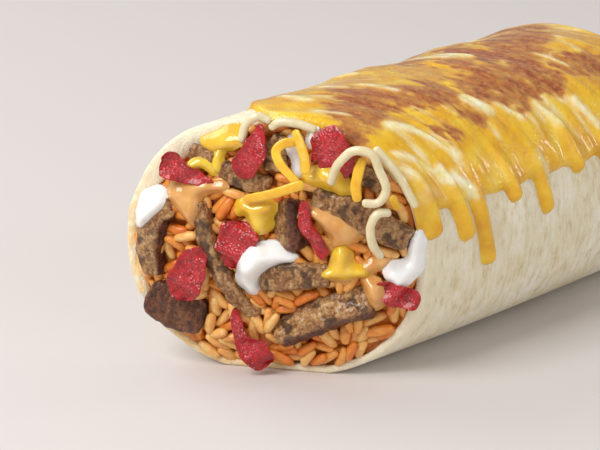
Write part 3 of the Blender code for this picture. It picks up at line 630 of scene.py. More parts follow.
def cheese_marks(angle, along, y):
    """Shares from 0 to 1, brown, pale and raised as a string: strokes whose borders are torn by
    noise that is drawn out across the roll, as the melted shreds are. The top is lightly toasted
    all over, and paler cheese is spread in it and down the sides."""
    s = ARC * angle
    slanted = along - 0.25 * s
    streak = rough_sheet(s / 2.0, slanted, 3.8, 4, 31)
    fine = rough_sheet(s / 1.7, slanted, 1.4, 3, 35)
    scorched = strokes_inside(s + 3 * streak, y + 3 * fine, SCORCHES)
    brown = smooth_step(-2.0, 3.0, scorched + 4.0 * streak + 2.5 * fine)
    brown = brown * np.clip(0.8 + 0.5 * streak + 0.5 * fine, 0.2, 1)
    middle = smooth_step(50, 24, np.abs(np.degrees(angle) - 6)) * smooth_step(4, 16, along)
    toasted = middle * smooth_step(-0.5, 0.5, streak + 0.5 * fine)
    melted = strokes_inside(s, y + 0.8 * streak, PALE_STREAKS)
    string = smooth_step(-1.2, 1.3, melted + 1.1 * fine + 0.6 * streak)
    spread = smooth_step(0.2 - 0.25 * middle, 0.6 - 0.1 * middle,
                         rough_sheet(s / 3.0, slanted, 4.0, 3, 41))
    spread = spread * smooth_step(72, 56, np.abs(np.degrees(angle)))
    brown = np.maximum(brown, 0.4 * toasted) * (1 - 0.8 * string)
    return brown, np.maximum(string, 0.65 * spread), string


# %% Cheese shape
CHEESE_DEPTH = 1.5
EDGE_ROUND = 2.0
SUNK = 0.7  # how far the cheese's edge lies under the surface of the tortilla
SKIRT = 1.3  # how far past the outline the sheets run on before they are cut
CRUST_ROWS = 205
CRUST_COLUMNS = 216
LIP_ROWS = 6


def cheese_grid():
    """Angles and lengths along; the rows crowd together at the rounded front lip."""
    lip = 2 * FRONT_LIP * (1 - np.sin(np.linspace(math.pi / 2, 0, LIP_ROWS))) - FRONT_LIP
    body = np.linspace(FRONT_LIP, CRUST_END + 5, CRUST_ROWS)
    angle = np.radians(np.linspace(-100, 106, CRUST_COLUMNS))
    return np.meshgrid(angle, np.concatenate([lip[:-1], body]))


def make_crust(material):
    """The top lies depth * edge above the tortilla, with the depth from ropes of cheese, the
    tongues' ridges, pale strings and rough browned skin; the under sheet lies in the tortilla."""
    angle, along = cheese_grid()
    squeeze = end_squeeze(along)
    y = wrap_points(angle, along, 0.0, squeeze)[..., 1]
    inside, ridge = cheese_inside(angle, along, y)
    brown, pale, string = cheese_marks(angle, along, y)
    front = along + FRONT_LIP
    edge = round_edge(inside, EDGE_ROUND) * round_edge(front, EDGE_ROUND)
    ropes = rough_sheet(ARC * angle / 3.0, along - 0.2 * ARC * angle, 3.6, 2, 51)
    skin = rough(surface_place(angle, along), 1.3, 2, 61)
    depth = (CHEESE_DEPTH + 0.55 * ropes * (1 - 0.5 * brown) + 1.0 * ridge
             - 0.3 * np.exp(-front / 3) - 0.25 * brown + 0.3 * string + 0.12 * brown * skin)
    sunk = outer_lift(angle, along) - SUNK
    top = wrap_points(angle, along, sunk + (depth + SUNK) * edge, squeeze)
    under = wrap_points(angle, along, sunk - 0.2, squeeze)
    points, faces, used = trimmed_shell(top, under, inside, SKIRT)
    return make_piece("melted_cheese", to_origin(points), faces, material, "cheese_crust",
                      "cheese_crust", brown=np.tile(brown.ravel(), 2)[used],
                      pale=np.tile(pale.ravel(), 2)[used])


# %% Cheese finish
def cheese_finish():
    """Orange cheese, then the pale streaks, toasted where the stored brown is small and
    scorched where it is large; browned cheese is duller too."""
    look = Finish("cheese_crust", Subsurface_Weight=0.2, Subsurface_Scale=0.003,
                  Subsurface_Radius=(1.0, 0.6, 0.12), Coat_Weight=0.4, Coat_Roughness=0.08)
    orange = look.mottle((7.0, 4.0), (0.3, (222, 158, 14)), (0.5, (236, 182, 24)),
                         (0.72, (244, 202, 60)))
    pale = look.mottle((3.0,), (0.3, (240, 218, 130)), (0.7, (252, 244, 212)))
    toasted = look.mottle((2.6, 5.0, 0.7), (0.3, (218, 166, 74)), (0.52, (200, 140, 62)),
                          (0.7, (176, 102, 48)))
    scorch = look.mottle((1.5, 5.0, 0.7), (0.34, (112, 44, 22)), (0.5, (154, 74, 38)),
                         (0.64, (190, 114, 58)))
    brown = look.stored("brown")
    colour = look.blend(look.stored("pale"), orange, pale)
    colour = look.blend(look.rescale(brown, 0.05, 0.5), colour, toasted)
    colour = look.blend(look.rescale(brown, 0.45, 1.0, 0.0, 0.9), colour, scorch)
    look.give(look.shader.inputs["Roughness"], look.rescale(brown, 0.0, 1.0, 0.22, 0.5))
    return look.finished(colour, look.speckle(1.2, 4.0), 0.35)


crust = make_crust(cheese_finish())
print("cheese triangles", triangles_of(crust))

# %% [markdown]
# ## Things that lie in the cut
#
# Most pieces in the cut are strips, strings or drops: a section carried along a bent line. The
# line runs smoothly through a few points on the cut, each with the height of the piece's top
# and its width there. The section is a superellipse, round for a string and square-shouldered
# for meat, and it closes to a point at both ends.

# %% Lines on the cut
def unit(vectors):
    """Vectors made one long."""
    return vectors / np.maximum(np.linalg.norm(vectors, axis=-1, keepdims=True), 1e-9)


def smooth_path(controls, shares):
    """A Catmull-Rom curve: a cubic through each pair of controls that also heeds their
    neighbours, read off at shares of its whole length."""
    controls = np.asarray(controls, float)
    ends = np.concatenate([[2 * controls[0] - controls[1]], controls,
                           [2 * controls[-1] - controls[-2]]])
    t = np.linspace(0, 1, 40, endpoint=False)[:, None]
    fine = [0.5 * (2 * b + (c - a) * t + (2 * a - 5 * b + 4 * c - d) * t ** 2
                   + (3 * b - a - 3 * c + d) * t ** 3)
            for a, b, c, d in zip(ends, ends[1:], ends[2:], ends[3:])]
    fine = np.concatenate([*fine, controls[-1:]])
    run = np.concatenate([[0], np.cumsum(np.linalg.norm(np.diff(fine[:, :3], axis=0), axis=1))])
    return np.stack([np.interp(shares * run[-1], run, column) for column in fine.T], axis=-1)


def path_frames(path):
    """At each point of a path on the cut: sideways, and out of the cut, square to the path."""
    tangent = unit(np.gradient(path, axis=0))
    side = unit(np.cross(tangent, [0.0, 0.0, 1.0]))
    return side, np.cross(side, tangent)


def rings_about(path, side, out, x, y):
    """Point = path + side * x + out * y, for every row of x and y."""
    return path[:, None] + side[:, None] * x[..., None] + out[:, None] * y[..., None]


def crowded_ends(rows, share=0.8):
    """Shares from 0 to 1 that crowd towards both ends, as half a cosine wave does."""
    even = np.linspace(0, 1, rows)
    return (1 - share) * even + share * (1 - np.cos(math.pi * even)) / 2


# %% Carrying a section along a line
def even_section(power, flat, sides):
    """Points at even distances round x = cos(a)^(2/power), y = flat * sin(a)^(2/power), with
    each y given as a share of flat."""
    a = np.linspace(0, 2 * math.pi, 2001)
    x = signed_power(np.cos(a), 2 / power)
    y = flat * signed_power(np.sin(a), 2 / power)
    run = np.concatenate([[0], np.cumsum(np.hypot(np.diff(x), np.diff(y)))])
    even = np.arange(sides) * run[-1] / sides
    return np.interp(even, run, x), np.interp(even, run, y) / flat


def sweep(controls, flat, cap, rows, sides, power=2.0, blunt=2.0, roll=0.0):
    """Rings of points: centre + side * width/2 * x + out * depth/2 * y, with x and y round a
    section, and the two directions rolled over by an angle. Near an end the ring shrinks as
    (1 - s^blunt)^(1/blunt), with s the share of the way through the cap, which is cap times the
    width long. Also each point's turn round the section, and the points as they would lie if the
    path were straight: (x, y, distance along it), in millimetres."""
    shares = crowded_ends(rows)
    path = smooth_path(controls, shares)
    whole = smooth_path(controls, np.linspace(0, 1, 200))[:, :3]
    run = shares * np.linalg.norm(np.diff(whole, axis=0), axis=1).sum()
    width = path[:, 3]
    depth = width * flat
    centre = path[:, :3] - np.array([0.0, 0.0, 0.5]) * depth[:, None]
    side, out = path_frames(centre)
    c, s = math.cos(math.radians(roll)), math.sin(math.radians(roll))
    side, out = side * c + out * s, out * c - side * s
    left = np.minimum(run / (cap * width[0]), (run[-1] - run) / (cap * width[-1]))
    shrink = (1 - (1 - np.clip(left, 0, 1)) ** blunt) ** (1 / blunt)
    x, y = even_section(power, flat, sides)
    rings = rings_about(centre, side, out, x * (width * shrink / 2)[:, None],
                        y * (depth * shrink / 2)[:, None])
    straight = np.stack(np.broadcast_arrays(x * width.mean() / 2, y * depth.mean() / 2,
                                            run[:, None]), axis=-1)
    return rings, np.broadcast_to(np.arctan2(y, x), rings.shape[:2]), straight


def add_relief(rings, height):
    """Every point moved along the surface's own direction, which is the cross product of the
    steps to the next row and to the next column; the two end points stay."""
    across = np.roll(rings, -1, axis=1) - np.roll(rings, 1, axis=1)
    normals = unit(np.cross(np.gradient(rings, axis=0), across))
    middle = rings.mean(axis=1, keepdims=True)
    facing = np.sign(np.einsum("ijk,ijk->", normals[1:-1], (rings - middle)[1:-1]))
    moved = rings + facing * normals * height[..., None]
    moved[[0, -1]] = rings[[0, -1]]
    return moved


def lay_in_cut(kind, family, number, rings, material, **values):
    """A closed tube in the cut, in the place of the plain model's piece of that number."""
    points, faces = closed_tube(from_cut(rings))
    name = f"{family}_{number:02d}"
    values = {key: tube_values(value) for key, value in values.items()}
    return make_piece(f"{kind}_{name}", points, faces, material, family, name, **values)


# %% [markdown]
# ## Grilled steak
#
# The steak is cut in strips, then seared. The broad side that lay on the griddle is tan with
# charred spots, and the cut sides show the darker meat. So a value stored in the mesh tells how
# seared each place is, and it is partly painted light: the face turned out of the cut, towards
# the light, gets the pale crust, and each piece's share of it is set by how brightly that piece
# stands in the light. Another value tells how charred it is, and the relief has threads of meat
# over lumps and pits. The threads run along a strip that was cut along the grain, and across the
# others.

# %% Steak pieces
# The share of pale crust that each piece gets is painted light: it is set by how brightly that piece
# stands in the light.
STEAKS = (
    dict(path=((-27.0, 9.6, 4.8, 6.0), (-31.4, 7.2, 5.0, 7.0), (-34.0, -1.0, 4.2, 7.2),
               (-33.2, -10.2, 3.4, 6.0)), flat=0.8, roll=-24, lengthwise=True, seared_at=-25),
    dict(path=((-35.0, -15.4, 3.0, 9.0), (-27.0, -18.6, 4.6, 13.0), (-18.8, -21.0, 4.2, 9.5)),
         flat=0.45, roll=10, painted_light=0.1),
    dict(path=((-19.5, 12.5, 6.0, 4.4), (-17.4, 2.3, 7.2, 4.8), (-13.5, -6.2, 7.4, 5.0),
               (-9.1, -13.5, 6.6, 4.6), (-4.0, -18.3, 5.2, 3.8)),
         flat=1.3, roll=-15, lengthwise=True),
    dict(path=((-14.2, 21.6, 4.2, 4.8), (-7.1, 19.3, 5.6, 5.8), (-0.3, 17.8, 5.4, 5.0)), flat=0.9),
    dict(path=((2.5, 31.2, 2.6, 5.4), (0.9, 27.0, 4.2, 6.4), (0.7, 21.8, 5.0, 6.0)), flat=0.7),
    dict(path=((4.7, 15.0, 6.4, 7.4), (5.1, 7.5, 7.2, 8.2), (5.6, 1.1, 6.8, 8.0)),
         flat=0.9, roll=-35, lengthwise=True, seared_at=-45),
    dict(path=((10.9, 15.6, 6.6, 6.4), (19.9, 13.0, 7.6, 8.0), (28.8, 9.2, 6.4, 7.8),
               (36.4, 4.9, 4.4, 6.4)), flat=0.85, roll=8),
    dict(path=((-3.1, -7.8, 7.8, 6.4), (7.0, -5.8, 8.6, 7.2), (16.1, -5.2, 7.6, 6.2)),
         flat=0.9, roll=10),
    dict(path=((1.2, -24.4, 5.2, 7.0), (13.7, -16.8, 7.2, 8.8), (27.3, -11.5, 6.0, 8.2)),
         flat=0.8, roll=32, lengthwise=True, painted_light=1.0),
    dict(path=((-22.8, 25.2, 2.8, 4.0), (-15.6, 23.6, 4.0, 4.6)), flat=0.7),
    dict(path=((22.7, 23.0, 4.6, 4.6), (29.4, 19.8, 4.4, 5.0)), flat=0.8),
)
STEAK_SECTION = dict(power=5.0, cap=0.25, blunt=3.0, rows=120, sides=100)
ALONG_GRAIN = np.array([1.0, 1.0, 0.25])
ACROSS_GRAIN = np.array([0.35, 0.35, 1.0])
APART = 40.0  # each steak takes its noise from another stretch


def make_steak(number, path, flat, material, roll=0, lengthwise=False, painted_light=0.85, seared_at=20):
    """A sweep with square shoulders, then relief: threads, which are bent by a coarser noise,
    over lumps and small pits. The seared side faces out of the cut, turned by seared_at. Its pale
    crust is partly painted light, and a share given for each piece scales it by how brightly that
    piece stands in the light."""
    rings, turn, straight = sweep(path, flat, roll=roll, **STEAK_SECTION)
    whole = straight + np.array([0.0, 0.0, APART * number])
    bent = 1.3 * rough(whole, 3.2, 2, 79)[..., None]
    threads = rough((whole + bent) * (ALONG_GRAIN if lengthwise else ACROSS_GRAIN), 0.9, 3, 71)
    lumpy = rough(whole, 4.5, 2, 75)
    pits = rough(whole, 1.9, 3, 77)
    # Painted light in part: the pale crust marks the griddle side and also the face turned to the
    # light, scaled for each piece by how brightly it stands in the light.
    seared = painted_light * smooth_step(0.1, 0.5, np.sin(turn - math.radians(seared_at)))
    char = smooth_step(0.36, 0.7, rough(whole, 3.6, 3, 81) - 0.6 * pits + 0.3 * seared)
    rings = add_relief(rings, 0.1 * threads + 0.6 * lumpy + 0.45 * pits)
    return lay_in_cut("grilled", "steak", number, rings, material, char=char, thread=threads,
                      seared=seared)


# %% Steak finish
def steak_finish():
    """Inner meat, the tan crust where it is seared, which is partly painted light on the faces
    turned to the light, and the char over both; threads and speckle together choose the colours."""
    look = Finish("steak", Subsurface_Weight=0.06, Subsurface_Scale=0.002, Coat_Weight=0.4,
                  Coat_Roughness=0.15)
    thread = look.rescale(look.stored("thread"), -0.6, 0.6)
    mixed = look.reckon("ADD", look.times(thread, 0.2), look.times(look.speckle(0.9, 6.0, 0.7), 0.8))
    crusty = look.ramp(mixed, (0.32, (108, 62, 30)), (0.45, (160, 108, 60)),
                       (0.56, (202, 154, 98)), (0.7, (238, 202, 146)))
    inner = look.ramp(mixed, (0.36, (54, 20, 9)), (0.5, (92, 42, 20)), (0.64, (134, 74, 38)))
    charred = look.mottle((0.7,), (0.35, (30, 14, 7)), (0.65, (84, 48, 27)))
    # The stored share of seared crust is partly painted light: lit faces get the pale crust and
    # shaded ones the darker meat.
    colour = look.blend(look.stored("seared"), inner, crusty)
    colour = look.blend(look.times(look.stored("char"), 0.8), colour, charred)
    look.give(look.shader.inputs["Roughness"],
              look.rescale(look.speckle(1.0), 0.3, 0.7, 0.22, 0.6))
    return look.finished(colour, look.speckle(0.7, 5.0, 0.65), 1.1)


meat = steak_finish()
steaks = [make_steak(number, material=meat, **steak) for number, steak in enumerate(STEAKS, 1)]
print("steaks", len(steaks), "triangles each", triangles_of(steaks[0]))

# %% [markdown]
# ## Crisp red strips
#
# These are thin strips of fried maize dough, dyed crimson, with a crystalline, sparkling
# surface and curled edges. A flat closed ribbon is enough: its two faces wave, its sides curl
# up, and its skin is covered with grains of relief that the light picks out. Its glints and
# sparkles are painted highlights in its colour.

# %% Red strips
RED_STRIPS = (
    dict(path=((-30.2, 23.0, 4.6, 7.0), (-26.6, 21.6, 5.4, 7.6), (-22.0, 19.6, 5.6, 4.8),
               (-15.6, 17.6, 5.4, 2.0)), curl=0.35),
    dict(path=((-3.0, 35.2, 4.6, 1.8), (-4.0, 29.4, 7.0, 6.0), (-6.2, 24.6, 7.6, 7.2),
               (-8.6, 20.6, 7.0, 4.6)), curl=0.2),
    dict(path=((12.6, 34.6, 4.6, 7.0), (15.6, 30.6, 6.6, 11.0), (17.0, 26.4, 6.8, 10.4),
               (14.6, 22.6, 6.4, 6.0)), curl=0.15, wave=0.4, turns=1.2),
    dict(path=((-17.9, 0.4, 7.2, 3.6), (-20.9, -4.2, 8.2, 8.4), (-23.0, -9.6, 8.6, 9.4),
               (-24.0, -14.6, 8.2, 6.4)), curl=0.3),
    dict(path=((-8.2, 9.0, 7.4, 7.0), (-8.4, 4.6, 8.8, 11.0), (-8.6, 0.0, 9.2, 10.6),
               (-9.8, -4.6, 8.6, 5.6)), curl=0.15, wave=0.7),
    dict(path=((9.3, 16.4, 9.6, 3.0), (10.2, 9.4, 10.2, 3.6), (12.8, 5.0, 9.8, 4.2),
               (15.4, 0.2, 8.8, 3.0)), curl=-0.2, wave=0.6, turns=1.5),
    dict(path=((-9.8, -16.0, 7.4, 2.0), (-8.4, -23.0, 8.0, 3.8), (-4.4, -28.2, 7.4, 8.0),
               (-0.2, -31.6, 5.8, 7.2)), curl=0.3, wave=0.6),
    dict(path=((28.0, -6.6, 6.6, 3.0), (32.6, -8.8, 6.4, 6.4), (37.0, -10.2, 5.2, 6.4),
               (40.2, -10.6, 4.4, 3.6)), curl=0.3, wave=0.7),
)
STRIP_THICK = 1.2
STRIP_ROWS = 90
STRIP_SIDES = 64


def make_strip(number, path, material, curl, wave=0.5, turns=2.0):
    """Point = centre + side * x * width/2 + out * (curl * x^2 * width/2 + wave * sin(..) +-
    thickness/2 * (1 - x^4)^(1/2)), with x from -1 to 1 across the strip and back."""
    shares = crowded_ends(STRIP_ROWS, 0.5)
    line = smooth_path(path, shares)
    centre, width = line[:, :3], line[:, 3:]
    side, out = path_frames(centre)
    turn = all_round(STRIP_SIDES)
    x = np.cos(turn)
    face = np.sign(np.sin(turn)) * np.sqrt(np.clip(1 - x ** 4, 0, 1))
    t = shares[:, None]
    phase = np.random.default_rng(number).uniform(0, 2 * math.pi, 2)
    shrink = round_edge(np.minimum(t, 1 - t), 0.1)
    ragged = noise(np.stack(np.broadcast_arrays(8 * t, 2 * x, 9.0 * number), axis=-1), 1.0, 3)
    edge = 1 + 0.08 * np.sin(2 * math.pi * (turns + 0.3) * t + phase[1] + x) + 0.05 * ragged
    ripple = wave * np.sin(2 * math.pi * turns * t + phase[0] + 1.6 * x)
    lift = curl * x ** 2 * width / 2 + ripple - STRIP_THICK + face * STRIP_THICK / 2 * shrink
    rings = rings_about(centre, side, out, x * edge * shrink * width / 2, lift)
    rings[0] = rings[0].mean(axis=0)
    rings[-1] = rings[-1].mean(axis=0)
    grains = rough(rings, 0.9, 2, 91 + number)
    frost = smooth_step(0.3, 0.8, (1 - x ** 2) * np.sin(math.pi * t) + 0.4 * grains)
    return lay_in_cut("crisp", "red_strip", number, add_relief(rings, 0.13 * grains), material,
                      frost=frost)


# %% Red finish
def red_finish():
    """Crimson, with a rosy haze where the strip is frosted, painted pale pink glints on small
    crystal dots there, and a few cells painted near white as sparkle, picked by their random colour;
    the glints and the sparkle are painted highlights."""
    look = Finish("red_strip", Roughness=0.3, Coat_Weight=0.4, Coat_Roughness=0.12,
                  Subsurface_Weight=0.08, Subsurface_Scale=0.002,
                  Subsurface_Radius=(1.0, 0.15, 0.1))
    cells = look.add("TexVoronoi", {"Vector": look.place(), "Scale": 1500.0}).outputs
    crystals = cells["Distance"]
    frost = look.stored("frost")
    colour = look.mottle((1.2, 4.0, 0.6), (0.32, (116, 2, 9)), (0.5, (168, 7, 18)),
                         (0.7, (194, 22, 33)))
    haze = look.times(frost, look.rescale(look.speckle(1.6), 0.4, 0.7, 0.0, 0.6))
    colour = look.blend(haze, colour, (202, 56, 64))
    # Painted highlight: pale pink glints on small crystal dots where the strip is frosted.
    painted_glint = look.times(frost, look.rescale(crystals, 0.5, 0.1), clamp=True)
    colour = look.blend(look.times(painted_glint, 0.6), colour, (228, 110, 118))
    # Painted highlight: a few random cells are painted near white as sparkle.
    luck = look.add("SeparateColor", {0: cells["Color"]}).outputs[0]
    painted_sparkle = look.times(look.rescale(luck, 0.93, 0.96),
                       look.rescale(crystals, 0.34, 0.14, 0.0, 0.8))
    colour = look.blend(painted_sparkle, colour, (250, 214, 210))
    return look.finished(colour, crystals, 0.2)


red = red_finish()
strips = [make_strip(number, material=red, **strip) for number, strip in enumerate(RED_STRIPS, 1)]
print("red strips", len(strips), "triangles each", triangles_of(strips[0]))

# %% [markdown]
# ## A map of the cut
#
# Rice rests on rice, and sauce drapes over whatever lies under it. Both need to know how high
# the pile stands at each place of the cut. A height map answers that: a grid of cells over the
# cut, each with the highest point found in it. It is filled from the meshes' own points, as
# whole arrays, and blurred where a thick liquid would not follow small steps.

# %% Height maps
CELL = 0.4
MAP_U = np.arange(-46, 46, CELL)
MAP_V = np.arange(-42, 42, CELL)
GRID_U, GRID_V = np.meshgrid(MAP_U, MAP_V, indexing="ij")
NOTHING = -50.0


def cell_of(u, v):
    """The row and column of the nearest cell, kept inside the map."""
    i = np.rint((u - MAP_U[0]) / CELL).astype(int)
    j = np.rint((v - MAP_V[0]) / CELL).astype(int)
    return np.clip(i, 0, len(MAP_U) - 1), np.clip(j, 0, len(MAP_V) - 1)


def neighbours_of(land):
    """The map moved by one cell in each of the nine directions."""
    wide = np.pad(land, 1, mode="edge")
    rows, columns = land.shape
    moves = itertools.product(range(3), repeat=2)
    return np.stack([wide[i:i + rows, j:j + columns] for i, j in moves])


def height_map(pieces):
    """The highest N of the pieces' points in each cell; an empty cell takes its neighbours'."""
    land = np.full(GRID_U.shape, NOTHING)
    for piece in pieces:
        places = np.empty(3 * len(piece.data.vertices))
        piece.data.vertices.foreach_get("co", places)
        u, v, n = to_cut(places.reshape(-1, 3) / MM).T
        np.maximum.at(land, cell_of(u, v), n)
    return np.where(land > NOTHING, land, neighbours_of(land).max(axis=0))


def blurred(land, passes):
    """Each cell takes the mean of the nine round it, again and again."""
    for _ in range(passes):
        land = neighbours_of(land).mean(axis=0)
    return land


def read_map(land, u, v):
    """Values between cells, mixed from the four nearest."""
    x = np.clip((u - MAP_U[0]) / CELL, 0, len(MAP_U) - 1.001)
    y = np.clip((v - MAP_V[0]) / CELL, 0, len(MAP_V) - 1.001)
    i, j = x.astype(int), y.astype(int)
    s, t = x - i, y - j
    return ((1 - s) * (1 - t) * land[i, j] + s * (1 - t) * land[i + 1, j]
            + (1 - s) * t * land[i, j + 1] + s * t * land[i + 1, j + 1])


cover = height_map(steaks + strips)
print("cells covered by steak and strips", int((cover > NOTHING).sum()))

# %% [markdown]
# ## The rice
#
# The filling is mostly seasoned rice: plump grains, orange from the sauce they were cooked in,
# lying every way and on each other. A solid core fills the wrap. Grains are then dropped on it
# one by one, each onto the height map of the pile so far, tilted to lie on what is under it,
# and the map grows with it. That packs them as in a real heap without a slow simulation.

# %% Filling core
SET_BACK = 0.6
BULGE = 5.6
CORE_COLUMNS = 180
CORE_ROWS = 46
CORE_LOW = 2.2
CORE_GAP = 0.3  # between the filling and the sheet


def filling_front(u, v, reach):
    """How far the filling stands out of the cut, with reach 0 in the middle and 1 at the rim:
    bulge * (1 - reach^3) and small bumps."""
    bumps = 0.5 * np.sin(u / 2.9 + 1.3 * np.sin(v / 4.1)) * np.sin(v / 2.5)
    return -SET_BACK + BULGE * (1 - reach ** 3) + bumps * (1 - reach ** 4)


def rim_on_cut(angle):
    """The inside of the sheet's edge on the cut, as U and V at an angle from the top."""
    points = wrap_points(angle, 0.0, -wall_at(angle) - CORE_GAP)
    return points[..., 0] / math.cos(SLANT), points[..., 2] - FACE_HEIGHT


def reach_of(u, v):
    """How far out a place lies, as a share of the way to the rim in its direction."""
    angle = np.arctan2(u * math.cos(SLANT), v + FACE_HEIGHT - CENTRE_HEIGHT)
    return np.hypot(u, v) / np.hypot(*rim_on_cut(angle))


def core_height(u, v, reach):
    """The front of the filling, lowered to leave room for the grains, and rough."""
    lumpy = 0.5 * rough_sheet(u, v, 2.6, 2, 121)
    return filling_front(u, v, reach) - CORE_LOW + lumpy * (1 - reach ** 8)


def make_core():
    """Rings from the far end along the inside of the sheet, then inwards over the front."""
    angle = all_round(CORE_COLUMNS)
    reach = np.linspace(1, 0, CORE_ROWS)[:, None]
    u, v = (rim * reach for rim in rim_on_cut(angle))
    front = from_cut(np.stack([u, v, core_height(u, v, reach)], axis=-1))
    along = np.array([2.0, 20.0, 60.0, 105.0, 122.0, 131.0])[:, None]
    squeeze = end_squeeze(along + END_WALL + 0.5)
    body = wrap_points(angle, along, -wall_at(angle) - CORE_GAP, squeeze)
    floor = wrap_points(np.zeros(1), LENGTH - END_WALL - 1.0, 0.0, 0.0)
    return closed_tube(np.concatenate([to_origin(shrunk_ring(floor, CORE_COLUMNS)),
                                       to_origin(body[::-1]), front]))


REACH = reach_of(GRID_U, GRID_V)
FRONT = filling_front(GRID_U, GRID_V, np.minimum(REACH, 1))
print("cells inside the rim", int((REACH < 1).sum()))

# %% Rice grains
GRAIN_LENGTH = 8.0
GRAIN_WIDTH = 2.85
GRAIN_RINGS = 6
GRAIN_SIDES = 8
GRAIN_TRIES = 16000
HEAP_TOP = 1.9  # how far a grain may stand above the front of the filling
FILL_TO = 0.7  # how far below the front the pile may stay
HEAP_RIM = 0.985  # the reach up to which grains are dropped
NEAR_RIM = 0.82  # the reach from which they lie along the rim
RIM_PRESS = 1.05  # the reach at which the map of the pile ends
AIM_OFF = 1.6
STEEPEST = 0.45


def grain_points(centre, direction, length, width, bend):
    """An ellipsoid with fuller ends: ring radius = width/2 * (1 - x^2.6)^(1/2.6) at a share x
    of the half length, bent sideways by bend * (1 - x^2)."""
    direction = unit(direction)
    side = unit(np.cross(direction, [0.0, 0.0, 1.0]))
    out = np.cross(side, direction)
    x = np.sin(np.linspace(-math.pi / 2, math.pi / 2, GRAIN_RINGS + 2))
    radius = width / 2 * (1 - np.abs(x) ** 2.6) ** (1 / 2.6)
    radius[[0, -1]] = 0
    turn = all_round(GRAIN_SIDES)
    middle = centre + direction * (x * length / 2)[:, None] + side * (bend * (1 - x ** 2))[:, None]
    ring = side * np.cos(turn)[:, None] + out * np.sin(turn)[:, None]
    return middle[:, None] + ring * radius[:, None, None]


def grow_pile(pile, u, v, rise, slope, turn, length, width):
    """Raises the map to the top of a grain: rise + slope * on + width/2 * sqrt(1 - (off / half
    width)^2 - (on / half length)^4), with on and off measured along and across the grain."""
    i, j = cell_of(np.array([u - 5, u + 5]), np.array([v - 5, v + 5]))
    part = (slice(*i), slice(*j))
    off_u, off_v = GRID_U[part] - u, GRID_V[part] - v
    on = off_u * math.cos(turn) + off_v * math.sin(turn)
    off = np.abs(off_v * math.cos(turn) - off_u * math.sin(turn))
    inside = 1 - (off / (width / 2)) ** 2 - (on / (length / 2)) ** 4
    height = rise + slope * on + width / 2 * np.sqrt(np.clip(inside, 0, 1))
    pile[part] = np.where(inside > 0, np.maximum(pile[part], height), pile[part])


def drop_grains():
    """Lays grains wherever the pile is still low. A grain's line is a + b t: b follows the slope
    under it, and a keeps all but two of nine places on it above the pile, so that its ends may
    press in among others. Near the rim the grains lie along it. One that would stand too high is
    left out, and so is one that would stick up through the middle of a steak or a strip, or
    through its edge at more than four places."""
    random = np.random.default_rng(5)
    core = core_height(GRID_U, GRID_V, np.minimum(REACH, 1))
    pile = np.where(REACH < RIM_PRESS, core, NOTHING)
    heart = neighbours_of(neighbours_of(cover).min(axis=0)).min(axis=0)
    t = np.linspace(-0.46, 0.46, 9)
    kept = []
    for attempt in range(GRAIN_TRIES):
        if attempt % 50 == 0:
            low = np.argwhere((REACH < HEAP_RIM) & (pile < FRONT - FILL_TO) & (cover < pile + 6))
            if not len(low):
                break
        i, j = low[random.integers(len(low))]
        turn, bend, tone, size, girth, away = random.uniform(0, 1, 6)
        turn *= math.pi
        u, v = MAP_U[i] + AIM_OFF * (away - 0.5), MAP_V[j] + AIM_OFF * (bend - 0.5)
        if REACH[i, j] > NEAR_RIM:
            turn = math.atan2(v, u) + math.pi / 2 + 0.7 * math.cos(3 * turn)
        length = GRAIN_LENGTH * (0.8 + 0.28 * size)
        width = GRAIN_WIDTH * (0.92 + 0.2 * girth)
        cells = cell_of(u + math.cos(turn) * length * t, v + math.sin(turn) * length * t)
        if REACH[cells].max() > RIM_PRESS - 0.02:
            continue
        slope = np.clip(np.polyfit(t * length, pile[cells], 1)[0], -STEEPEST, STEEPEST)
        rise = np.sort(pile[cells] + 0.7 * width / 2 - slope * t * length)[-3]
        heights = rise + slope * t * length
        over = heights + width / 2 > cover[cells] - 0.3
        too_high = (heights + 0.3 * width > FRONT[cells] + HEAP_TOP).any()
        through = (over & (heart[cells] > NOTHING)).any()
        if too_high or through or (over & (cover[cells] > NOTHING)).sum() > 4:
            continue
        direction = np.array([math.cos(turn), math.sin(turn), slope])
        kept.append((tone, (np.array([u, v, rise]), direction, length, width, 1.4 * bend - 0.7)))
        grow_pile(pile, u, v, rise, slope, turn, length, width)
    print("low cells left", len(low), "of", int((REACH < 0.97).sum()))
    return kept, pile


# %% Rice finish
CORE_TONE = 0.0
LEAST_TONE = 0.12


def rice_finish():
    """The stored tone paints the core at its low end, in an orange lighter than the grains' darkest,
    which is painted light against the shade the core lies in, and the grains, each its own, above
    that.
    """
    look = Finish("rice", Roughness=0.34, Subsurface_Weight=0.3, Subsurface_Scale=0.0025,
                  Subsurface_Radius=(1.0, 0.45, 0.15), Coat_Weight=0.2, Coat_Roughness=0.18)
    # The first stop, the core's orange, is painted light: it is lighter than the grains' darkest to
    # offset the shade the core lies in.
    grain = look.ramp(look.stored("tone"), (0.1, (244, 150, 62)), (LEAST_TONE, (222, 122, 38)),
                      (0.5, (236, 158, 68)), (1.0, (248, 200, 124)))
    soft = look.mottle((1.8,), (0.3, (240, 200, 164)), (0.6, (255, 255, 255)))
    return look.finished(look.blend(0.8, grain, soft, "MULTIPLY"), look.speckle(0.9), 0.2)


def make_filling(grains, material):
    """The core and all the grains in one mesh."""
    parts = [make_core(), *(closed_tube(from_cut(grain_points(*shape))) for _, shape in grains)]
    tones = [CORE_TONE, *(LEAST_TONE + (1 - LEAST_TONE) * tone for tone, _ in grains)]
    sizes = [len(points) for points, _ in parts]
    starts = np.cumsum(sizes) - sizes
    faces = [part + start for (_, around), start in zip(parts, starts) for part in around]
    return make_piece("rice_and_grains", np.concatenate([points for points, _ in parts]), faces,
                      material, "rice", "rice_filling", tone=np.repeat(tones, sizes))


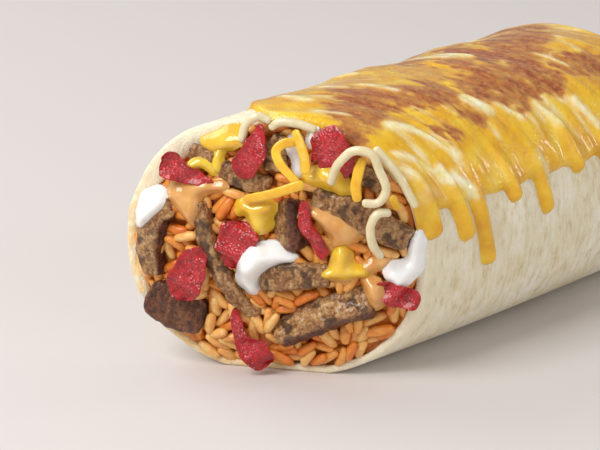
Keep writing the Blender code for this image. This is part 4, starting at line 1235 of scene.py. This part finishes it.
grains, pile = drop_grains()
filling = make_filling(grains, rice_finish())
print("grains", len(grains), "triangles", triangles_of(filling))

# %% [markdown]
# ## Sour cream and sauces
#
# Cream and warm sauces are thick liquids: they spread in rounded lobes, pull smooth over small
# bumps and sink a little between the grains. So a drop is drawn as an outline, rows of discs
# that melt together, and then laid over the blurred height map of what is under it. Its
# thickness rises from the outline like the side of a round pillow.

# %% Cream and sauce drops
# A drop has its thickness and its rows of discs, each disc as (U, V, radius)
DROPS = {
    "sour_cream": (
        (3.4, ((-31.6, 11.8, 2.2), (-34.2, 10.2, 2.8), (-36.3, 6.8, 1.6), (-37.1, 4.2, 0.7))),
        (3.8, ((5.9, -1.0, 0.8), (3.5, -0.6, 1.7), (0.6, 0.0, 2.8), (-1.9, -0.2, 3.1),
               (-4.2, -2.9, 3.3), (-6.1, -7.2, 2.7), (-4.8, -10.1, 1.5))),
        (3.4, ((32.8, -3.2, 2.1), (35.2, -3.6, 2.7), (37.2, -2.6, 2.3), (38.0, 1.0, 1.6),
               (38.6, 4.8, 1.2), (39.0, 6.8, 0.5))),
        (1.8, ((5.4, 29.2, 1.8), (6.6, 26.0, 1.1), (6.9, 22.3, 0.9))),
        (1.6, ((10.4, 32.7, 1.2), (9.8, 30.2, 0.7))),
        (1.2, ((-17.3, 27.3, 0.8), (-15.8, 26.9, 1.0)))),
    "cheese_sauce": (
        (2.6, ((-18.3, 28.2, 1.3), (-16.2, 28.2, 2.2), (-12.3, 29.8, 2.6), (-9.8, 30.8, 1.9))),
        (3.2, ((-7.0, 12.9, 1.7), (-3.6, 12.0, 2.6), (-0.8, 13.0, 2.1)),
         ((-3.0, 10.6, 3.1), (-1.7, 8.0, 1.9)), ((-7.0, 12.9, 1.5), (-8.3, 11.1, 0.7))),
        (3.0, ((10.4, 21.7, 1.9), (13.5, 21.9, 2.6), (16.5, 21.6, 2.5), (19.1, 19.9, 1.6),
               (22.4, 19.0, 0.6))),
        (3.4, ((19.0, 2.9, 0.9), (19.4, 0.6, 2.0), (19.2, -2.2, 2.6)),
         ((15.4, -4.2, 0.9), (19.3, -3.6, 2.0), (24.8, -3.4, 1.4))),
        (1.4, ((-14.3, 27.8, 1.2), (-15.1, 25.0, 1.1), (-15.3, 21.7, 1.2))),
        (1.2, ((-21.5, 22.3, 0.6), (-20.0, 23.2, 0.7), (-18.2, 22.7, 0.8), (-15.9, 21.4, 1.0)))),
    "orange_sauce": (
        (2.4, ((-26.3, 14.2, 2.3), (-23.2, 12.6, 3.4), (-22.6, 9.8, 2.2), (-22.0, 6.9, 0.7)),
         ((-22.4, 14.5, 2.0), (-18.2, 16.4, 1.2), (-13.0, 17.0, 0.7))),
        (2.4, ((10.5, 13.2, 1.1), (13.8, 11.2, 1.8), (17.4, 8.8, 2.7), (20.5, 7.0, 2.9),
               (23.6, 6.8, 1.0)), ((18.5, 5.8, 2.0), (17.2, 3.9, 1.1))),
        (2.6, ((25.6, -5.8, 1.3), (27.5, -7.7, 2.1), (28.7, -10.4, 1.7), (28.4, -12.6, 0.8))),
        (1.5, ((16.5, -4.8, 0.8), (20.3, -5.2, 1.2), (24.4, -3.3, 1.3), (27.5, -1.7, 1.2),
               (30.8, -1.2, 0.6)))),
}
# Pieces that lie on a drop and not under it
ON_TOP = {"sour_cream_02": "grilled_steak_08", "orange_sauce_02": "crisp_red_strip_06"}
DROP_STEP = 0.2
DROP_SUNK = 0.8  # how far its edge lies under the ground
DROP_SPREAD = 0.7  # how much wider it is than its discs
FILLET = 0.4  # where two rows of discs melt together
BLUR = 22


def ground_under(name):
    """The blurred height of whatever may lie under a drop."""
    solid = [piece for piece in steaks + strips + [tortilla] if piece.name != ON_TOP.get(name)]
    land = np.maximum(pile, height_map(solid))
    return blurred(np.maximum(land, FRONT - 0.6), BLUR)


def make_drop(family, number, thick, rows, material):
    """N = blurred height + thickness * sqrt(1 - (1 - d/r)^2), with d the distance inside the
    outline, and r the radius over which the side rounds off."""
    name = f"{family}_{number:02d}"
    discs = np.array([disc for row in rows for disc in row])
    low = (discs[:, :2] - discs[:, 2:]).min(axis=0) - 1
    high = (discs[:, :2] + discs[:, 2:]).max(axis=0) + 1
    u, v = np.meshgrid(*(np.arange(*ends, DROP_STEP) for ends in zip(low, high)), indexing="ij")
    inside = row_inside(u, v, rows[0])
    for row in rows[1:]:
        inside = soft_most(inside, row_inside(u, v, row), FILLET)
    inside = inside + DROP_SPREAD + 0.3 * rough_sheet(u, v, 2.6, 1, number)
    swell = thick * (0.8 + 0.35 * np.clip(inside / 2.5, 0, 1)) + DROP_SUNK
    under = read_map(GROUND.get(name, GROUND["any drop"]), u, v) - DROP_SUNK
    top = under + blurred(swell * round_edge(inside, 1.1 * thick), BLUR)
    sheets = [from_cut(np.stack([u, v, n], axis=-1)) for n in (top, under - 0.4)]
    points, faces, _ = trimmed_shell(*sheets, inside, 0.0)
    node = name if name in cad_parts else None
    return make_piece("drop_of_" + name, points, faces, material, family, node)


# %% Sauce finishes
def sauce_finish(name, low, high, gloss, depth):
    """Two close colours under a wet coat; light sinks in by the depth, in metres."""
    look = Finish(name, Roughness=gloss, Subsurface_Weight=0.35, Subsurface_Scale=depth,
                  Subsurface_Radius=(1.0, 0.7, 0.4), Coat_Weight=0.5, Coat_Roughness=0.06)
    return look.finished(look.mottle((4.0, 2.0), (0.3, low), (0.7, high)), look.speckle(2.4, 2.0),
                         0.2)


SAUCES = {"sour_cream": ((249, 246, 241), (253, 251, 247), 0.28, 0.004),
          "cheese_sauce": ((226, 172, 42), (240, 200, 66), 0.2, 0.003),
          "orange_sauce": ((208, 144, 74), (228, 174, 106), 0.22, 0.003)}
GROUND = {name: ground_under(name) for name in ("any drop", *ON_TOP)}
drops = []
for family, look in SAUCES.items():
    liquid = sauce_finish(family, *look)
    drops += [make_drop(family, number, thick, rows, liquid)
              for number, (thick, *rows) in enumerate(DROPS[family], 1)]
print("drops", len(drops), "of", [round(triangles_of(drop) / 1000, 1) for drop in drops])

# %% [markdown]
# ## Shredded cheese
#
# The yellow shreds are flat, soft and half melted; the white ones are round, stiff strings. Both
# are long sweeps of nearly even width.

# %% Shreds
YELLOW_SHREDS = (
    ((7.0, 30.9, 6.2, 2.4), (3.8, 30.8, 7.0, 2.6), (1.8, 28.6, 7.8, 2.6), (3.3, 25.4, 8.8, 2.6),
     (6.2, 22.8, 9.6, 2.4), (8.0, 21.0, 9.8, 2.4)),
    ((6.1, 34.2, 5.4, 2.4), (8.4, 30.6, 7.4, 2.6), (9.8, 27.1, 9.0, 2.6), (10.3, 23.8, 10.2, 2.4)),
    ((-6.4, 15.4, 9.4, 2.4), (1.1, 17.8, 10.4, 2.6), (6.6, 19.9, 10.6, 2.8), (9.8, 21.0, 9.8, 2.8)),
    ((25.0, 28.5, 7.6, 2.4), (23.9, 25.1, 8.4, 2.8), (23.3, 20.8, 9.0, 2.8), (23.9, 16.9, 9.2, 2.4)),
    ((32.3, 18.3, 5.6, 2.2), (33.8, 14.2, 5.6, 2.4)),
)
WHITE_SHREDS = (
    ((16.4, 21.0, 9.4, 2.3), (18.4, 26.4, 10.0, 2.4), (22.6, 30.8, 10.4, 2.4),
     (27.6, 30.3, 10.4, 2.4), (29.6, 26.2, 10.4, 2.4), (31.5, 21.4, 10.6, 2.4),
     (29.6, 17.6, 11.0, 2.4), (25.4, 17.4, 11.8, 2.3)),
    ((27.4, 30.9, 5.8, 2.2), (30.9, 27.4, 6.6, 2.3), (34.4, 23.0, 6.4, 2.3), (38.4, 15.0, 5.2, 2.2)),
    ((32.6, 14.4, 9.0, 2.2), (29.4, 14.4, 11.0, 2.4), (27.8, 11.0, 12.0, 2.4),
     (28.3, 6.4, 11.8, 2.4), (30.2, 2.0, 9.4, 2.3)),
    ((-0.9, 33.6, 4.6, 2.2), (2.4, 35.7, 5.0, 2.3), (7.6, 35.4, 5.0, 2.3), (11.9, 34.0, 4.6, 2.2)),
    ((-8.1, 29.6, 5.8, 2.2), (-7.0, 34.4, 5.4, 2.3), (-3.8, 36.8, 5.0, 2.3), (-0.4, 35.6, 4.6, 2.2)),
)
SHRED_SECTIONS = {"yellow_shred": dict(flat=0.45, power=3.0, cap=0.45, rows=90, sides=28),
                  "white_shred": dict(flat=1.0, cap=0.45, rows=90, sides=28)}


def make_shred(family, number, path, material):
    """A sweep with a slightly uneven skin."""
    rings = sweep(path, **SHRED_SECTIONS[family])[0]
    rings = add_relief(rings, 0.12 * rough(rings, 2.2, 2, 111 + number))
    return lay_in_cut("string_of", family, number, rings, material)


yellow = sauce_finish("yellow_shred", (234, 172, 30), (246, 200, 58), 0.35, 0.002)
white = sauce_finish("white_shred", (216, 202, 158), (230, 217, 182), 0.3, 0.003)
shreds = [make_shred(family, number, path, material)
          for family, paths, material in (("yellow_shred", YELLOW_SHREDS, yellow),
                                          ("white_shred", WHITE_SHREDS, white))
          for number, path in enumerate(paths, 1)]
print("shreds", len(shreds))

# %% [markdown]
# ## Floor and light
#
# The half lies on a plain pale floor. A large soft lamp in front gives the gentle highlights on
# cheese and sauce, two weaker ones fill the left and the right side, and a small low one behind
# draws glints on what is wet. A pale surrounding light keeps the shadows soft.

# %% Floor, lamps and surroundings
FLOOR_SIZE = 6.0
# Each lamp: place in metres, width in metres, power in watts
LAMPS = {"key": ((-0.1, -0.85, 0.9), 0.6, 11.0), "left": ((-0.9, -0.1, 0.8), 0.7, 4.4),
         "right": ((0.9, -0.1, 0.45), 0.7, 1.4), "glints": ((0.62, 0.75, 0.32), 0.14, 0.9)}


def make_floor():
    """One square of four corners."""
    mesh = bpy.data.meshes.new("floor")
    corners = [(x * FLOOR_SIZE, y * FLOOR_SIZE, 0) for x, y in ((-1, -1), (1, -1), (1, 1), (-1, 1))]
    mesh.from_pydata(corners, [], [(0, 1, 2, 3)])
    pale = Finish("pale_floor", Roughness=0.75, Base_Color=linear(213, 207, 205))
    mesh.materials.append(pale.material)
    floor = bpy.data.objects.new("floor", mesh)
    bpy.context.scene.collection.objects.link(floor)


def add_lamp(name, place, size, power):
    """A square lamp that looks at the burrito."""
    lamp = bpy.data.lights.new(name, "AREA")
    lamp.shape = "SQUARE"
    lamp.size = size
    lamp.energy = power
    holder = bpy.data.objects.new(name, lamp)
    holder.location = place
    aim = Vector(place) - Vector((0, -0.02, 0.03))
    holder.rotation_euler = aim.to_track_quat("Z", "Y").to_euler()
    bpy.context.scene.collection.objects.link(holder)


make_floor()
for name, lamp in LAMPS.items():
    add_lamp(name, *lamp)
world = bpy.data.worlds.new("surroundings")
world.use_nodes = True
background = world.node_tree.nodes["Background"].inputs
background["Color"].default_value = (1.0, 0.97, 0.93, 1.0)
background["Strength"].default_value = 0.42
bpy.context.scene.world = world
bpy.context.scene.view_settings.view_transform = "Standard"
print("lamps", len(LAMPS))
